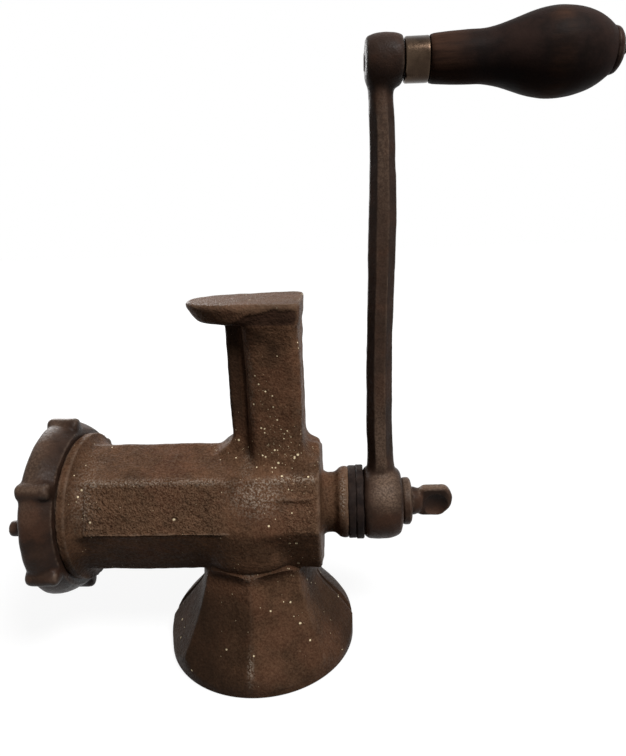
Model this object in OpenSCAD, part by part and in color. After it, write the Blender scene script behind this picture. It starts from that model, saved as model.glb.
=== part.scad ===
// Hand-cranked table meat grinder, drawn as it stands on its hopper rim.
// The barrel lies along X with the crank at +X, Z is up and the hopper's mouth is centred on the origin.

/* [Barrel] */
// Height of the barrel's axis above the hopper rim
axis_height = 72; // [68:1:84]
// Size of the eight-sided barrel across its flats
barrel_flats = 57; // [54:0.5:64]
// Rounding of the barrel's long edges
barrel_edge_r = 1.8; // [0.5:0.1:4]
// Distance from the hopper's centre to the front flange's face
front_length = 82; // [76:1:96]
// Distance from the hopper's centre to the barrel's rear face
rear_length = 32; // [30:1:40]
// Thickness of the rear wall that carries the bearing
rear_wall = 8; // [5:0.5:10]
// Bore in which the worm turns
chamber_d = 48; // [44:0.5:50]
// Swell of the casting where barrel, hopper and leg cross, as a diameter
swell_d = 65; // [60:0.5:70]
// Length of the swell along the barrel
swell_length = 82; // [60:1:90]
// Offset of the swell's middle from the hopper's centre
swell_offset = 3; // [0:0.5:6]

/* [Front collar] */
// Diameter of the round flange behind the ring
flange_d = 69.2; // [67.5:0.1:76]
// Width of the flange before it falls away to the barrel
flange_width = 4; // [2:0.5:6]
// Length of the hollow curve from the flange down to the barrel
flange_blend = 10; // [5:0.5:14]
// Outer diameter of the collar that the ring screws on
collar_d = 66; // [65:0.1:67]
// Length of the collar in front of the flange
collar_length = 8.5; // [7:0.5:12]
// Depth of the seat for knife and plate, from the collar's front
seat_depth = 10; // [9:0.5:12]

/* [Hopper] */
// Diameter of the round hopper rim
mouth_d = 90.6; // [84:0.2:98]
// Wall of the hopper at its rim
mouth_wall = 4; // [3:0.25:6]
// Size of the eight-sided neck across its corners
neck_corners = 59.2; // [56:0.2:64]
// Bore of the hopper's throat
throat_d = 41; // [36:0.5:44]
// Height of the flare, from the rim to the straight neck
flare_height = 48; // [40:1:54]
// Spread of the eight ridges from the neck to the rim plane
flare_spread = 21.9; // [20:0.1:30]
// Sharpness of the flare, where 1 is a straight cone
flare_power = 1.35; // [1:0.05:2.2]

/* [Clamp leg] */
// Width of the leg's thick rib along the barrel
rib_width = 24; // [18:0.5:28]
// Width of the thin web in front of the rib
web_width = 8.4; // [5:0.2:12]
// Distance from the hopper's centre to the leg's rear side
leg_rear = 25; // [20:0.5:29]
// Depth of the thick rib
rib_depth = 30; // [22:0.5:36]
// Depth of the thin web
web_depth = 17; // [10:0.5:20]
// Fillet where the leg grows out of the barrel
leg_fillet = 7; // [3:0.5:10]
// Spread of the thick rib where it runs down over the barrel's sides
rib_spread = 15; // [8:0.5:16]
// Height above the barrel at which that spread begins
rib_rise = 10; // [5:0.5:14]
// Height of the jaw's outer face above the barrel's axis
jaw_height = 98; // [84:1:120]
// Thickness of the jaw
jaw_thickness = 9; // [7:0.5:14]
// Reach of the jaw's tip past the hopper's centre
jaw_reach = 25; // [18:0.5:34]
// Depth of the jaw along the table's edge
jaw_depth = 40; // [34:1:52]
// Draft that narrows the jaw towards its clamping face
jaw_draft = 5; // [2:0.5:7]
// Rounding of the jaw's outer edge
jaw_round = 1.8; // [0.5:0.1:3]

/* [Rear bearing] */
// Diameter of the boss behind the rear wall
boss_d = 28; // [26:0.2:32]
// Diameter of the rounded lip at the boss's end
lip_d = 33.2; // [33:0.2:38]
// Length of the boss, lip and all
boss_length = 12.5; // [10:0.5:16]
// Length of the lip
lip_length = 6; // [4:0.5:8]
// Fillet at the boss's root
boss_fillet = 3; // [1:0.25:4]
// Diameter of the worm's bearing journal
journal_d = 20; // [17:0.25:22]

/* [Worm, knife and plate] */
// Gap between the worm's flight and the chamber
flight_gap = 0.6; // [0.3:0.1:1.5]
// Advance of the flight in one turn
flight_pitch = 30; // [22:1:40]
// Thickness of the flight
flight_thickness = 5; // [3:0.25:7]
// Core of the worm at the hopper end
core_rear_d = 18; // [16:0.5:22]
// Core of the worm at the knife end
core_front_d = 25; // [20:0.5:30]
// Diameter of the worm's rear shoulder
shoulder_d = 29; // [26:0.5:36]
// Thickness of the worm's rear shoulder
shoulder_thickness = 4; // [2:0.25:6]
// Thickness of the thrust washer
thrust_thickness = 1.6; // [1:0.1:3]
// Side of the square stud that turns the knife
stud_square = 9.8; // [8:0.1:11]
// Length of the stud's root inside the worm
stud_root = 14; // [8:0.5:20]
// Diameter of the stud's journal in the plate
stud_journal_d = 9; // [6:0.1:9.6]
// Number of knife blades
knife_blades = 4; // [3:1:6]
// Thickness of the knife
knife_thickness = 5.4; // [4:0.1:6]
// Gap around the knife's tips
knife_tip_gap = 1.6; // [1:0.1:3]
// Width of a blade
blade_width = 9; // [6:0.5:11]
// Diameter of the cutter plate
plate_d = 61; // [60:0.1:62]
// Thickness of the cutter plate
plate_thickness = 6; // [5:0.25:8]
// Depth of the plate's back inside the collar
plate_seat = 3; // [2:0.25:4]
// Diameter of the plate's cutting holes
plate_hole_d = 5; // [3:0.25:6]
// Diameter of the pin that keeps the plate from turning
key_d = 3; // [2:0.1:4]
// Reach of the key pin into the plate's notch
key_reach = 2; // [1.5:0.1:3]

/* [Ring nut] */
// Largest diameter of the ring
ring_d = 82; // [79:0.2:90]
// Diameter of the ring where it meets the flange
ring_rear_d = 73.6; // [72:0.2:78]
// Length of the ring from flange to front face
ring_length = 14; // [12:0.5:18]
// Rounding of the ring's front edge
ring_round = 3; // [1:0.25:4]
// Opening of the ring's front
ring_opening_d = 54; // [48:0.5:58]
// Number of gripping lugs
ring_lugs = 6; // [4:1:8]
// Width of a lug
lug_width = 8.6; // [6:0.2:10]
// Height of a lug over the ring
lug_height = 3.6; // [2:0.2:5]
// Angle of the first lug from straight up towards the near side
lug_angle = -5; // [-30:1:30]
// Diameter of the small peg on the ring's front face
peg_d = 6.2; // [4:0.2:7]
// Length of the peg
peg_length = 4.6; // [3:0.2:8]
// Angle of the peg above the horizontal, on the near side
peg_angle = 9; // [0:1:20]

/* [Crank] */
// Distance between the worm's axis and the handle's axis
crank_radius = 189; // [150:1:220]
// Diameter of the crank's hub
hub_d = 34.8; // [34:0.2:40]
// Length of the crank's hub
hub_length = 18; // [14:0.5:24]
// Rounding of the hub's edges
hub_round = 3; // [1:0.25:4]
// Width of the arm at the hub
arm_width_hub = 12; // [10:0.2:16]
// Width of the arm at the eye
arm_width_eye = 9.8; // [8:0.2:14]
// Depth of the arm at the hub
arm_depth_hub = 13; // [10:0.5:18]
// Depth of the arm at the eye
arm_depth_eye = 9.5; // [7:0.5:14]
// Sideways bow of the arm
arm_bow = 1.3; // [0:0.1:4]
// Widening of the arm where it meets the hub
arm_flare_hub = 3; // [0:0.1:4]
// Widening of the arm where it meets the eye
arm_flare_eye = 1.2; // [0:0.1:3]
// Length over which the arm widens
arm_flare_run = 13; // [6:0.5:24]
// Diameter of the eye that holds the handle's bolt
eye_d = 19.4; // [17:0.2:26]
// Length of the eye
eye_length = 14.8; // [10:0.2:18]
// Side of the worm's square end inside the hub
drive_square = 13; // [11:0.1:13.4]
// Thickness of each of the two seal washers
seal_thickness = 3.4; // [1.5:0.1:5]
// Diameter of the inner seal washer
seal_inner_d = 32.8; // [30:0.2:38]
// Diameter of the outer seal washer
seal_outer_d = 34.2; // [30:0.2:40]

/* [Thumb screw] */
// Diameter of the screw
screw_d = 8; // [5:0.25:9]
// Length of the screw inside the worm
screw_length = 16; // [12:0.5:20]
// Diameter of the washer under the thumb screw
thumb_washer_d = 22; // [16:0.5:28]
// Thickness of that washer
thumb_washer_thickness = 4.4; // [2:0.2:6]
// Diameter of the screw's neck
neck_d = 13.2; // [10:0.2:15]
// Length of the neck up to the thumb piece
neck_length = 4.6; // [3:0.2:8]
// Length of the flat thumb piece
thumb_length = 15; // [10:0.5:24]
// Height of the flat thumb piece
thumb_height = 15; // [12:0.5:30]
// Thickness of the thumb piece
thumb_thickness = 5.6; // [4:0.2:8]
// Radius of the hollows in its faces, as a share of its height
thumb_dish = 0.33; // [0.2:0.01:0.4]
// Depth of those hollows
dish_depth = 0.8; // [0.3:0.1:1.2]

/* [Handle] */
// Diameter of the bolt that the grip turns on
bolt_d = 8; // [5:0.2:9]
// Length of the ferrule
ferrule_length = 9.7; // [6:0.2:14]
// Diameter of the ferrule
ferrule_d = 16.6; // [15:0.2:20]
// Wall of the ferrule
ferrule_wall = 1; // [0.6:0.1:1.6]
// Length of the wooden grip past the ferrule
grip_length = 69.6; // [55:0.2:95]
// Diameter of the grip at the ferrule
grip_neck_d = 17.2; // [15:0.2:20]
// Diameter of the grip at the end of its slim part
grip_waist_d = 19.8; // [17:0.2:26]
// Largest diameter of the grip
grip_bulb_d = 32; // [26:0.2:40]
// Share of the grip's length that is slim
grip_slim = 0.28; // [0.15:0.01:0.4]
// Share of the grip's length at which it is thickest
grip_thickest = 0.69; // [0.55:0.01:0.8]
// Bluntness of the grip's end, as a share of its length that the round would still run on
grip_blunt = 0.045; // [0.02:0.005:0.2]
// Diameter of the domed end washer
button_d = 15; // [12:0.2:20]
// Height of the domed end washer
button_height = 4.2; // [2:0.2:6]
// Diameter of the bolt's riveted tip
rivet_d = 3.8; // [2:0.2:4.8]

/* [Fits] */
// Radial running fit of journals, bores and screws
run_fit = 0.06; // [0.02:0.01:0.1]
// Radial fit of pieces that sit still on a shaft
slip_fit = 0.05; // [0.02:0.01:0.15]
// Gap between flat faces that pass each other
face_gap = 0.1; // [0.05:0.05:0.4]

/* [Hidden] */
// Number of sides of barrel and hopper
sides = 8;
// Facets of round pieces on the screen
round_fn = 72;
// Overlap of pieces that are joined
sink = 1;
// Extra length of cuts past the surface
past = 1;
// Number of steps along a curve
steps = 8;
// Number of steps round a small rounded edge
arc_steps = 4;
// Facets of the lugs' ball ends on the screen
ball_fn = 32;
// Broken edge of castings and turned pieces
edge_break = 0.6;
// Broken edge of the barrel's rear face
barrel_break = 1.2;
// Share of a full round that the rib's spread reaches
rib_reach = 0.96;
// Squareness of the rib, where 1 is an ellipse
rib_bulge = 0.7;
// Share of the leg's fillet that its rear side takes
rear_share = 0.6;
// Share of the rib's spread that the web follows
web_share = 0.4;
// Rounding of the web's front edges
web_round = 1.5;
// Steps up the leg's root
root_steps = 5;
// Rounding of the jaw's rear corners
jaw_corner_r = 5;
// Overhang of the jaw behind the leg
jaw_overhang = 1;
// Share of the jaw's draft that its sides take
jaw_side_share = 0.4;
// Share of the jaw's draft that its rear takes
jaw_rear_share = 0.2;
// Height of the jaw's knee as a share of its thickness
jaw_knee = 0.45;
// Draft left at the jaw's knee
jaw_knee_draft = 0.4;
// Taper of the flight towards its edge
flight_taper = 0.6;
// Sections of the flight in one turn
flight_steps = 20;
// Setback of the flight from the knife's seat
flight_stop = 1;
// Spare depth of blind holes
hole_spare = 2;
// Curve of a blade's back
blade_curve = 1.4;
// Turn of the knife on its stud
knife_turn = 20;
// Pitch of the holes in a row, in hole diameters
hole_pitch = 1.5;
// Pitch of the rows of holes, in hole diameters
row_pitch = 1.25;
// Distance of the first row from the plate's bore, in hole diameters
first_row = 1.1;
// Distance of the last row from the ring's opening, in hole diameters
last_row = 0.7;
// Setback of the lugs from the ring's front
lug_front = 2;
// Setback of the lugs from the ring's back
lug_back = 1.5;
// Half width of the arm's middle face, as a share of its half width
arm_face = 0.42;
// Half depth of the arm's side face, as a share of its half depth
arm_side = 0.35;
// Turn of the arm's wave between hub and eye
arm_wave = 324;
// Shift of the arm's middle line at the hub
hub_shift = 1;
// Shift of the arm's middle line at the eye
eye_shift = 0.8;
// Rounding of the eye's edges
eye_round = 1.5;
// Step of the screw's neck and of other short tapers
short_step = 1;
// Rounding of the thumb washer's edges
washer_round = 0.8;
// Broken edge of the ferrule
ferrule_break = 0.4;
// Flat round the rivet on the end washer
rivet_flat = 0.8;
axis_z = axis_height;
barrel_r = barrel_flats / 2 / cos(180 / sides);
barrel_top = axis_z + barrel_r;
chamber_r = chamber_d / 2;
chamber_end = rear_length - rear_wall;
collar_front = -(front_length + collar_length);
seat_floor = collar_front + seat_depth;
seat_r = plate_d / 2 + run_fit;
boss_end = rear_length + boss_length;
journal_r = journal_d / 2;
mouth_r = mouth_d / 2;
neck_r = neck_corners / 2;
throat_r = throat_d / 2;
jaw_top = axis_z + jaw_height;
jaw_bottom = jaw_top - jaw_thickness;
leg_valley = leg_rear - rib_width;
leg_front = leg_valley - web_width;
leg_root = axis_z + barrel_flats / 4;
plate_back = collar_front + plate_seat;
plate_front = plate_back - plate_thickness;
knife_front = plate_back + face_gap;
knife_back = knife_front + knife_thickness;
key_x = collar_front + plate_seat / 2;
flight_r = chamber_r - flight_gap;
shoulder_back = chamber_end - thrust_thickness;
shoulder_front = shoulder_back - shoulder_thickness;
seal_inner_x = boss_end + face_gap;
seal_outer_x = seal_inner_x + seal_thickness;
hub_x = seal_outer_x + seal_thickness;
hub_end = hub_x + hub_length;
hub_middle = hub_x + hub_length / 2 - hub_shift;
drive_end = hub_end - hole_spare;
thumb_x = hub_end + face_gap;
screw_x = thumb_x + thumb_washer_thickness;
screw_tip = drive_end - screw_length;
ring_back = -front_length - face_gap;
ring_front = ring_back - ring_length;
ring_bore_r = collar_d / 2 + run_fit;
grip_z = axis_z + crank_radius;
eye_end = hub_end - face_gap;
eye_start = eye_end - eye_length;
ferrule_x = eye_end + face_gap;
grip_x = ferrule_x + ferrule_length;
grip_end = grip_x + grip_length;
button_x = grip_end + face_gap;
eye_middle = (eye_start + eye_end) / 2 - eye_shift;
bolt_r = bolt_d / 2;

// Point on a circle
function polar(r, a) = [r * cos(a), r * sin(a)];

// Smooth step from 0 to 1
function ease(t) = (1 - cos(180 * t)) / 2;

// Straight blend between two values
function blend(a, b, t) = a + (b - a) * t;

// Regular polygon with rounded corners
function soft_polygon(n, r, f, k = 3) =
    let (c = r - f / cos(180 / n))
    [for (i = [0 : n - 1]) for (s = [0 : k - 1])
        polar(c, i * 360 / n) + polar(f, i * 360 / n + (s / (k - 1) - 0.5) * 360 / n)];

// Rectangle with rounded corners about the origin
function soft_rectangle(w, h, f, k = 5) =
    [for (q = [0 : 3]) for (s = [0 : k - 1])
        let (a = q * 90 + s * 90 / (k - 1))
        [(q == 0 || q == 3 ? 1 : -1) * (w / 2 - f), (q < 2 ? 1 : -1) * (h / 2 - f)] + polar(f, a)];

// Solid through a row of closed outlines that have the same number of points
module loft(rings) {
    n = len(rings[0]);
    m = len(rings);
    points = [for (ring = rings) for (p = ring) p];
    walls = [for (i = [0 : m - 2]) for (j = [0 : n - 1])
        let (a = i * n + j)
        let (b = i * n + (j + 1) % n)
        each [[a, b + n, b], [a, a + n, b + n]]];
    start = [[for (j = [0 : n - 1]) j]];
    end = [[for (j = [0 : n - 1]) m * n - 1 - j]];
    polyhedron(points = points, faces = concat(walls, start, end), convexity = 10);
}

// Solid of revolution about a line along X, from points of position and radius
module turned(profile, z) {
    translate([0, 0, z])
        rotate([0, 90, 0])
            rotate_extrude($fn = round_fn)
                polygon([for (p = profile) [p[1], p[0]]]);
}

// Round bar along X
module bar(x, length, d, z) {
    translate([x, 0, z])
        rotate([0, 90, 0])
            cylinder(h = length, d = d, $fn = round_fn);
}

// Square bar along X
module square_bar(x, length, side, z) {
    translate([x, -side / 2, z - side / 2])
        cube([length, side, side]);
}

// Profile of a round boss with rounded edges
function soft_boss(x0, x1, r, f) =
    concat(
        [[x0, 0]],
        [for (i = [0 : arc_steps])
            let (a = i * 90 / arc_steps)
            [x0 + f, r - f] + f * [-cos(a), sin(a)]],
        [for (i = [0 : arc_steps])
            let (a = i * 90 / arc_steps)
            [x1 - f, r - f] + f * [sin(a), cos(a)]],
        [[x1, 0]]);

// Eight-sided outline of the barrel at one place, drawn in by an inset
function barrel_ring(x, inset) =
    [for (p = soft_polygon(sides, barrel_r - inset, barrel_edge_r)) [x, p[0], axis_z + p[1]]];

// Share of the flare that is reached at one height
function flare(z) = pow(max(0, flare_height - z) / flare_height, flare_power);

// Eight-sided outline of the hopper at one height, with a ridge on the near side
function hopper_ring(z) =
    [for (i = [0 : sides - 1])
        let (p = polar(neck_r + flare_spread * flare(z), i * 360 / sides))
        [p[0], p[1], z]];

// Hollow of the hopper, as points of radius and height
function funnel_profile() =
    concat(
        [[0, -past], [mouth_r - mouth_wall, -past]],
        [for (i = [0 : steps])
            let (z = i * flare_height / steps)
            [throat_r + (mouth_r - mouth_wall - throat_r) * flare(z), z]],
        [[throat_r, axis_z], [0, axis_z]]);

// Hollow curve from the flange to the barrel
function flange_profile() =
    let (x0 = -front_length + flange_width, r0 = flange_d / 2, r1 = barrel_flats / 2 - sink / 2)
    concat(
        [[-front_length, 0], [-front_length, r0 - edge_break], [-front_length + edge_break, r0]],
        [for (i = [0 : steps])
            let (a = i * 90 / steps)
            [x0 + flange_blend * (1 - cos(a)), r1 + (r0 - r1) * (1 - sin(a))]],
        [[x0 + flange_blend, 0]]);

// Swell of the casting at the crossing, ending inside the rear wall
function swell_profile() =
    let (half = swell_length / 2, limit = rear_length - 2 * sink - swell_offset)
    let (last = limit < half ? acos(limit / half) : 0)
    concat(
        [for (i = [0 : 2 * steps])
            let (a = blend(180, last, i / (2 * steps)))
            [swell_offset + half * cos(a), swell_d / 2 * sin(a)]],
        last > 0 ? [[swell_offset + limit, 0]] : []);

// Rear boss with its filleted root and rounded lip
function boss_profile() =
    let (r = boss_d / 2, lip = lip_d / 2, rise = lip - r, bead = lip_length / 3)
    concat(
        [[rear_length - sink, 0], [rear_length - sink, r + boss_fillet]],
        [for (i = [0 : arc_steps])
            let (a = i * 90 / arc_steps)
            [rear_length + boss_fillet * (1 - cos(a)), r + boss_fillet * (1 - sin(a))]],
        [for (i = [0 : arc_steps])
            let (t = i / arc_steps)
            [boss_end - lip_length + bead * t, r + rise * ease(t)]],
        [[boss_end - edge_break, lip], [boss_end, lip - edge_break], [boss_end, 0]]);

// Growth of the leg towards the barrel, along the barrel
function leg_growth(z) =
    let (t = max(0, min(1, (barrel_top + leg_fillet - z) / leg_fillet)))
    leg_fillet * (1 - sqrt(1 - t * t));

// Spread of the thick rib down over the barrel's sides
function rib_growth(z) =
    let (t = max(0, min(1, (barrel_top + rib_rise - z) / (barrel_top + rib_rise - leg_root))))
    rib_spread * (1 - sqrt(1 - rib_reach * t * t));

// Outline of the leg at one height: a thin web, a valley and a thick rounded rib
function leg_ring(z) =
    let (g = leg_growth(z), s = rib_growth(z))
    let (rear = leg_rear + rear_share * g, front = leg_front - g)
    let (web = web_depth / 2 + web_share * s, rib = rib_depth / 2 + s)
    let (half = concat(
        [[front, web - web_round], [front + web_round, web]],
        [for (i = [0 : steps])
            let (t = i / steps)
            [blend(leg_valley, rear, ease(t)), web + (rib - web) * pow(sin(180 * t), rib_bulge)]]))
    concat(
        [for (p = half) [p[0], -p[1], z]],
        [for (i = [len(half) - 1 : -1 : 0]) [half[i][0], half[i][1], z]]);

// Outline of the jaw at one height, drawn in by an inset
function jaw_ring(z, inset) =
    let (b = jaw_depth / 2 - jaw_side_share * inset, f = jaw_corner_r)
    let (rear = leg_rear + jaw_overhang - jaw_rear_share * inset)
    let (tip = -jaw_reach + inset, middle = leg_valley + jaw_overhang)
    concat(
        [for (i = [0 : arc_steps])
            let (p = polar(f, -90 + i * 90 / arc_steps))
            [rear - f + p[0], -b + f + p[1], z]],
        [for (i = [0 : arc_steps])
            let (p = polar(f, i * 90 / arc_steps))
            [rear - f + p[0], b - f + p[1], z]],
        [for (i = [0 : 2 * steps])
            let (a = 90 + i * 90 / steps)
            [middle + (middle - tip) * cos(a), b * sin(a), z]]);

// The one-piece casting: barrel, hopper, leg, jaw, collar and rear boss
module body_casting() {
    color("saddlebrown")
        difference() {
            union() {
                loft([
                    barrel_ring(-front_length + flange_width, 0),
                    barrel_ring(rear_length - barrel_break, 0),
                    barrel_ring(rear_length, barrel_break)]);
                turned(flange_profile(), axis_z);
                bar(collar_front, collar_length + sink, collar_d, axis_z);
                turned(swell_profile(), axis_z);
                turned(boss_profile(), axis_z);
                intersection() {
                    loft(concat(
                        [for (i = [0 : steps]) hopper_ring(i * flare_height / steps)],
                        [hopper_ring(axis_z)]));
                    cylinder(h = axis_z, r = mouth_r, $fn = round_fn);
                }
                loft(concat(
                    [for (i = [0 : root_steps - 1])
                        leg_ring(blend(leg_root, barrel_top, i / root_steps))],
                    [for (i = [0 : root_steps])
                        leg_ring(barrel_top + max(leg_fillet, rib_rise) * i / root_steps)],
                    [leg_ring(jaw_bottom + sink)]));
                loft([
                    jaw_ring(jaw_bottom, jaw_draft),
                    jaw_ring(jaw_bottom + jaw_knee * jaw_thickness, jaw_knee_draft * jaw_draft),
                    jaw_ring(jaw_top - jaw_round, 0),
                    jaw_ring(jaw_top, jaw_round)]);
            }
            bar(collar_front - past, chamber_end - collar_front + past, chamber_d, axis_z);
            bar(collar_front - past, seat_depth + past, 2 * seat_r, axis_z);
            bar(chamber_end - past, rear_wall + boss_length + 2 * past, journal_d + 2 * run_fit, axis_z);
            rotate_extrude($fn = round_fn)
                polygon(funnel_profile());
            translate([key_x, 0, axis_z + seat_r - sink])
                cylinder(h = collar_d, d = key_d + 2 * slip_fit, $fn = round_fn);
        }
}

// Pin in the collar that keeps the plate from turning
module plate_key() {
    color("dimgray")
        translate([key_x, 0, axis_z + plate_d / 2 - key_reach])
            cylinder(h = collar_d / 2 - plate_d / 2 + key_reach - face_gap, d = key_d, $fn = round_fn);
}

// Section of the worm's flight at one angle
function flight_ring(a) =
    let (x = shoulder_front - flight_thickness / 2 - a / 360 * flight_pitch)
    let (d = [0, cos(a), sin(a)], h = flight_thickness / 2, r0 = core_rear_d / 2 - sink)
    [for (p = [[-h, r0], [h, r0], [flight_taper * h, flight_r], [-flight_taper * h, flight_r]])
        [x + p[0], p[1] * d[1], axis_z + p[1] * d[2]]];

// Feed worm with its flight, bearing journal and square end
module feed_worm() {
    run = shoulder_front - flight_thickness - (seat_floor + flight_stop);
    turns = run / flight_pitch;
    stations = ceil(turns * flight_steps);
    color("silver")
        difference() {
            union() {
                turned([
                    [knife_back, 0],
                    [knife_back, core_front_d / 2],
                    [shoulder_front, core_rear_d / 2],
                    [shoulder_front, shoulder_d / 2],
                    [shoulder_back, shoulder_d / 2],
                    [shoulder_back, journal_r],
                    [hub_x, journal_r],
                    [hub_x, 0]], axis_z);
                loft([for (i = [0 : stations]) flight_ring(i / stations * turns * 360)]);
                square_bar(hub_x - sink, drive_end - hub_x + sink, drive_square, axis_z);
            }
            bar(screw_tip - hole_spare, screw_length + hole_spare + past, screw_d + 2 * run_fit, axis_z);
            bar(knife_back - past, stud_root + past, stud_square + 2 * slip_fit, axis_z);
        }
}

// Steel stud in the worm's nose, square for the knife and round for the plate
module worm_stud() {
    color("lightslategray")
        union() {
            bar(knife_back, stud_root - face_gap, stud_square, axis_z);
            square_bar(knife_front, knife_thickness, stud_square, axis_z);
            bar(plate_front, knife_front - plate_front + sink, stud_journal_d, axis_z);
        }
}

// Outline of one knife blade, with a straight cutting edge and a curved back
function blade_outline() =
    let (r = plate_d / 2 - knife_tip_gap, w = blade_width)
    concat(
        [[0, -w / 2], [r - edge_break, -w / 2]],
        [for (i = [0 : steps])
            let (t = i / steps)
            [blend(r, 0, t), blend(edge_break - w / 2, w / 2, ease(min(1, blade_curve * t)))]]);

// Rotary knife
module cutter_knife() {
    color("lightsteelblue")
        translate([knife_front, 0, axis_z])
            rotate([0, 90, 0])
                difference() {
                    linear_extrude(height = knife_thickness)
                        union() {
                            circle(r = stud_square, $fn = round_fn);
                            for (i = [0 : knife_blades - 1])
                                rotate(i * 360 / knife_blades + knife_turn)
                                    polygon(blade_outline());
                        }
                    translate([0, 0, knife_thickness / 2])
                        cube([
                            stud_square + 2 * slip_fit,
                            stud_square + 2 * slip_fit,
                            knife_thickness + 2 * past], center = true);
                }
}

// Perforated plate that the meat is pressed through
module cutter_plate() {
    first = stud_journal_d / 2 + first_row * plate_hole_d;
    last = ring_opening_d / 2 - last_row * plate_hole_d;
    rows = max(1, floor((last - first) / (row_pitch * plate_hole_d)));
    color("gainsboro")
        difference() {
            bar(plate_front, plate_thickness, plate_d, axis_z);
            bar(plate_front - past, plate_thickness + 2 * past, stud_journal_d + 2 * run_fit, axis_z);
            for (row = [0 : rows])
                let (r = blend(first, last, row / rows))
                let (count = floor(2 * PI * r / (hole_pitch * plate_hole_d)))
                for (i = [0 : count - 1])
                    rotate_about_axis(i * 360 / count)
                        bar(plate_front - past, plate_thickness + 2 * past, plate_hole_d, axis_z + r);
            translate([
                plate_front - past,
                -key_d / 2 - face_gap,
                axis_z + plate_d / 2 - key_reach - 2 * face_gap])
                cube([plate_thickness + 2 * past, key_d + 2 * face_gap, key_reach + past]);
        }
}

// Turns its children about the worm's axis
module rotate_about_axis(a) {
    translate([0, 0, axis_z])
        rotate([a, 0, 0])
            translate([0, 0, -axis_z])
                children();
}

// Wall of the ring: slim at the flange, swelling towards a rounded front
function ring_profile() =
    let (r = ring_d / 2, r0 = ring_rear_d / 2, f = ring_round)
    concat(
        [[ring_back, ring_bore_r], [ring_back, r0]],
        [for (i = [1 : steps])
            let (t = i / steps)
            [blend(ring_back, ring_front + f + sink, t), blend(r0, r, sin(90 * t))]],
        [for (i = [1 : arc_steps])
            let (a = i * 90 / arc_steps)
            [ring_front + f, r - f] + f * [-sin(a), cos(a)]],
        [[ring_front, ring_opening_d / 2], [plate_front, ring_opening_d / 2]],
        [[plate_front, ring_bore_r]]);

// Screwed ring that holds the plate
module ring_nut() {
    lug_r = ring_d / 2 + lug_height - lug_width / 2;
    lug_x = ring_front + lug_front;
    peg_r = ring_d / 2 - ring_round - peg_d;
    color("dimgray")
        difference() {
            union() {
                turned(ring_profile(), axis_z);
                for (i = [0 : ring_lugs - 1])
                    rotate_about_axis(lug_angle + i * 360 / ring_lugs) {
                        bar(lug_x, ring_length - lug_front - lug_back, lug_width, axis_z + lug_r);
                        translate([lug_x, 0, axis_z + lug_r])
                            sphere(d = lug_width, $fn = ball_fn);
                    }
                rotate_about_axis(90 - peg_angle)
                    bar(ring_front - peg_length, peg_length + sink, peg_d, axis_z + peg_r);
            }
            bar(plate_front, ring_back - plate_front + past, 2 * ring_bore_r, axis_z);
        }
}

// Washer between the worm's shoulder and the rear wall
module thrust_washer() {
    color("darkgoldenrod")
        difference() {
            bar(shoulder_back, thrust_thickness - face_gap, shoulder_d, axis_z);
            bar(shoulder_back - past, thrust_thickness + 2 * past, journal_d + 2 * slip_fit, axis_z);
        }
}

// Flat washer on the journal between boss and crank
module seal_washer(x, d) {
    difference() {
        turned(soft_boss(x, x + seal_thickness, d / 2, seal_thickness / 5), axis_z);
        bar(x - past, seal_thickness + 2 * past, journal_d + 2 * slip_fit, axis_z);
    }
}

// Black washer against the boss
module seal_washer_inner() {
    color("black")
        seal_washer(seal_inner_x, seal_inner_d);
}

// Black washer against the crank
module seal_washer_outer() {
    color("black")
        seal_washer(seal_outer_x, seal_outer_d);
}

// Growth of the arm at a distance from the hub's or the eye's surface
function arm_growth(flare, d) = flare * pow(max(0, min(1, 1 - d / arm_flare_run)), 2);

// Outline of the crank's arm at one share of its length, with bevelled faces
function arm_ring(t) =
    let (z = crank_radius * t, u = arm_face, v = arm_side)
    let (flare = arm_growth(arm_flare_hub, z - hub_d / 2)
        + arm_growth(arm_flare_eye, crank_radius - z - eye_d / 2))
    let (w = (blend(arm_width_hub, arm_width_eye, t) + flare) / 2)
    let (d = blend(arm_depth_hub, arm_depth_eye, t) / 2)
    let (x = blend(hub_middle, eye_middle, t) - arm_bow * sin(arm_wave * t))
    [for (p = [[-u, -1], [u, -1], [1, -v], [1, v], [u, 1], [-u, 1], [-1, v], [-1, -v]])
        [x + p[0] * w, p[1] * d, axis_z + z]];

// Crank with hub, bowed arm and eye
module crank_arm() {
    reach = (hub_d / 2 - hub_round) / crank_radius;
    stop = 1 - (eye_d / 2 - hole_spare) / crank_radius;
    color("slategray")
        difference() {
            union() {
                turned(soft_boss(hub_x, hub_end, hub_d / 2, hub_round), axis_z);
                turned(soft_boss(eye_start, eye_end, eye_d / 2, eye_round), grip_z);
                loft([for (i = [0 : 2 * steps]) arm_ring(blend(reach, stop, i / (2 * steps)))]);
            }
            square_bar(hub_x - past, hub_length + 2 * past, drive_square + 2 * slip_fit, axis_z);
            bar(eye_start - past, eye_length + 2 * past, bolt_d + 2 * slip_fit, grip_z);
        }
}

// Washer under the thumb screw
module thumb_washer() {
    color("gray")
        difference() {
            turned(soft_boss(thumb_x, screw_x, thumb_washer_d / 2, washer_round), axis_z);
            bar(thumb_x - past, thumb_washer_thickness + 2 * past, screw_d + 2 * run_fit, axis_z);
        }
}

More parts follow.
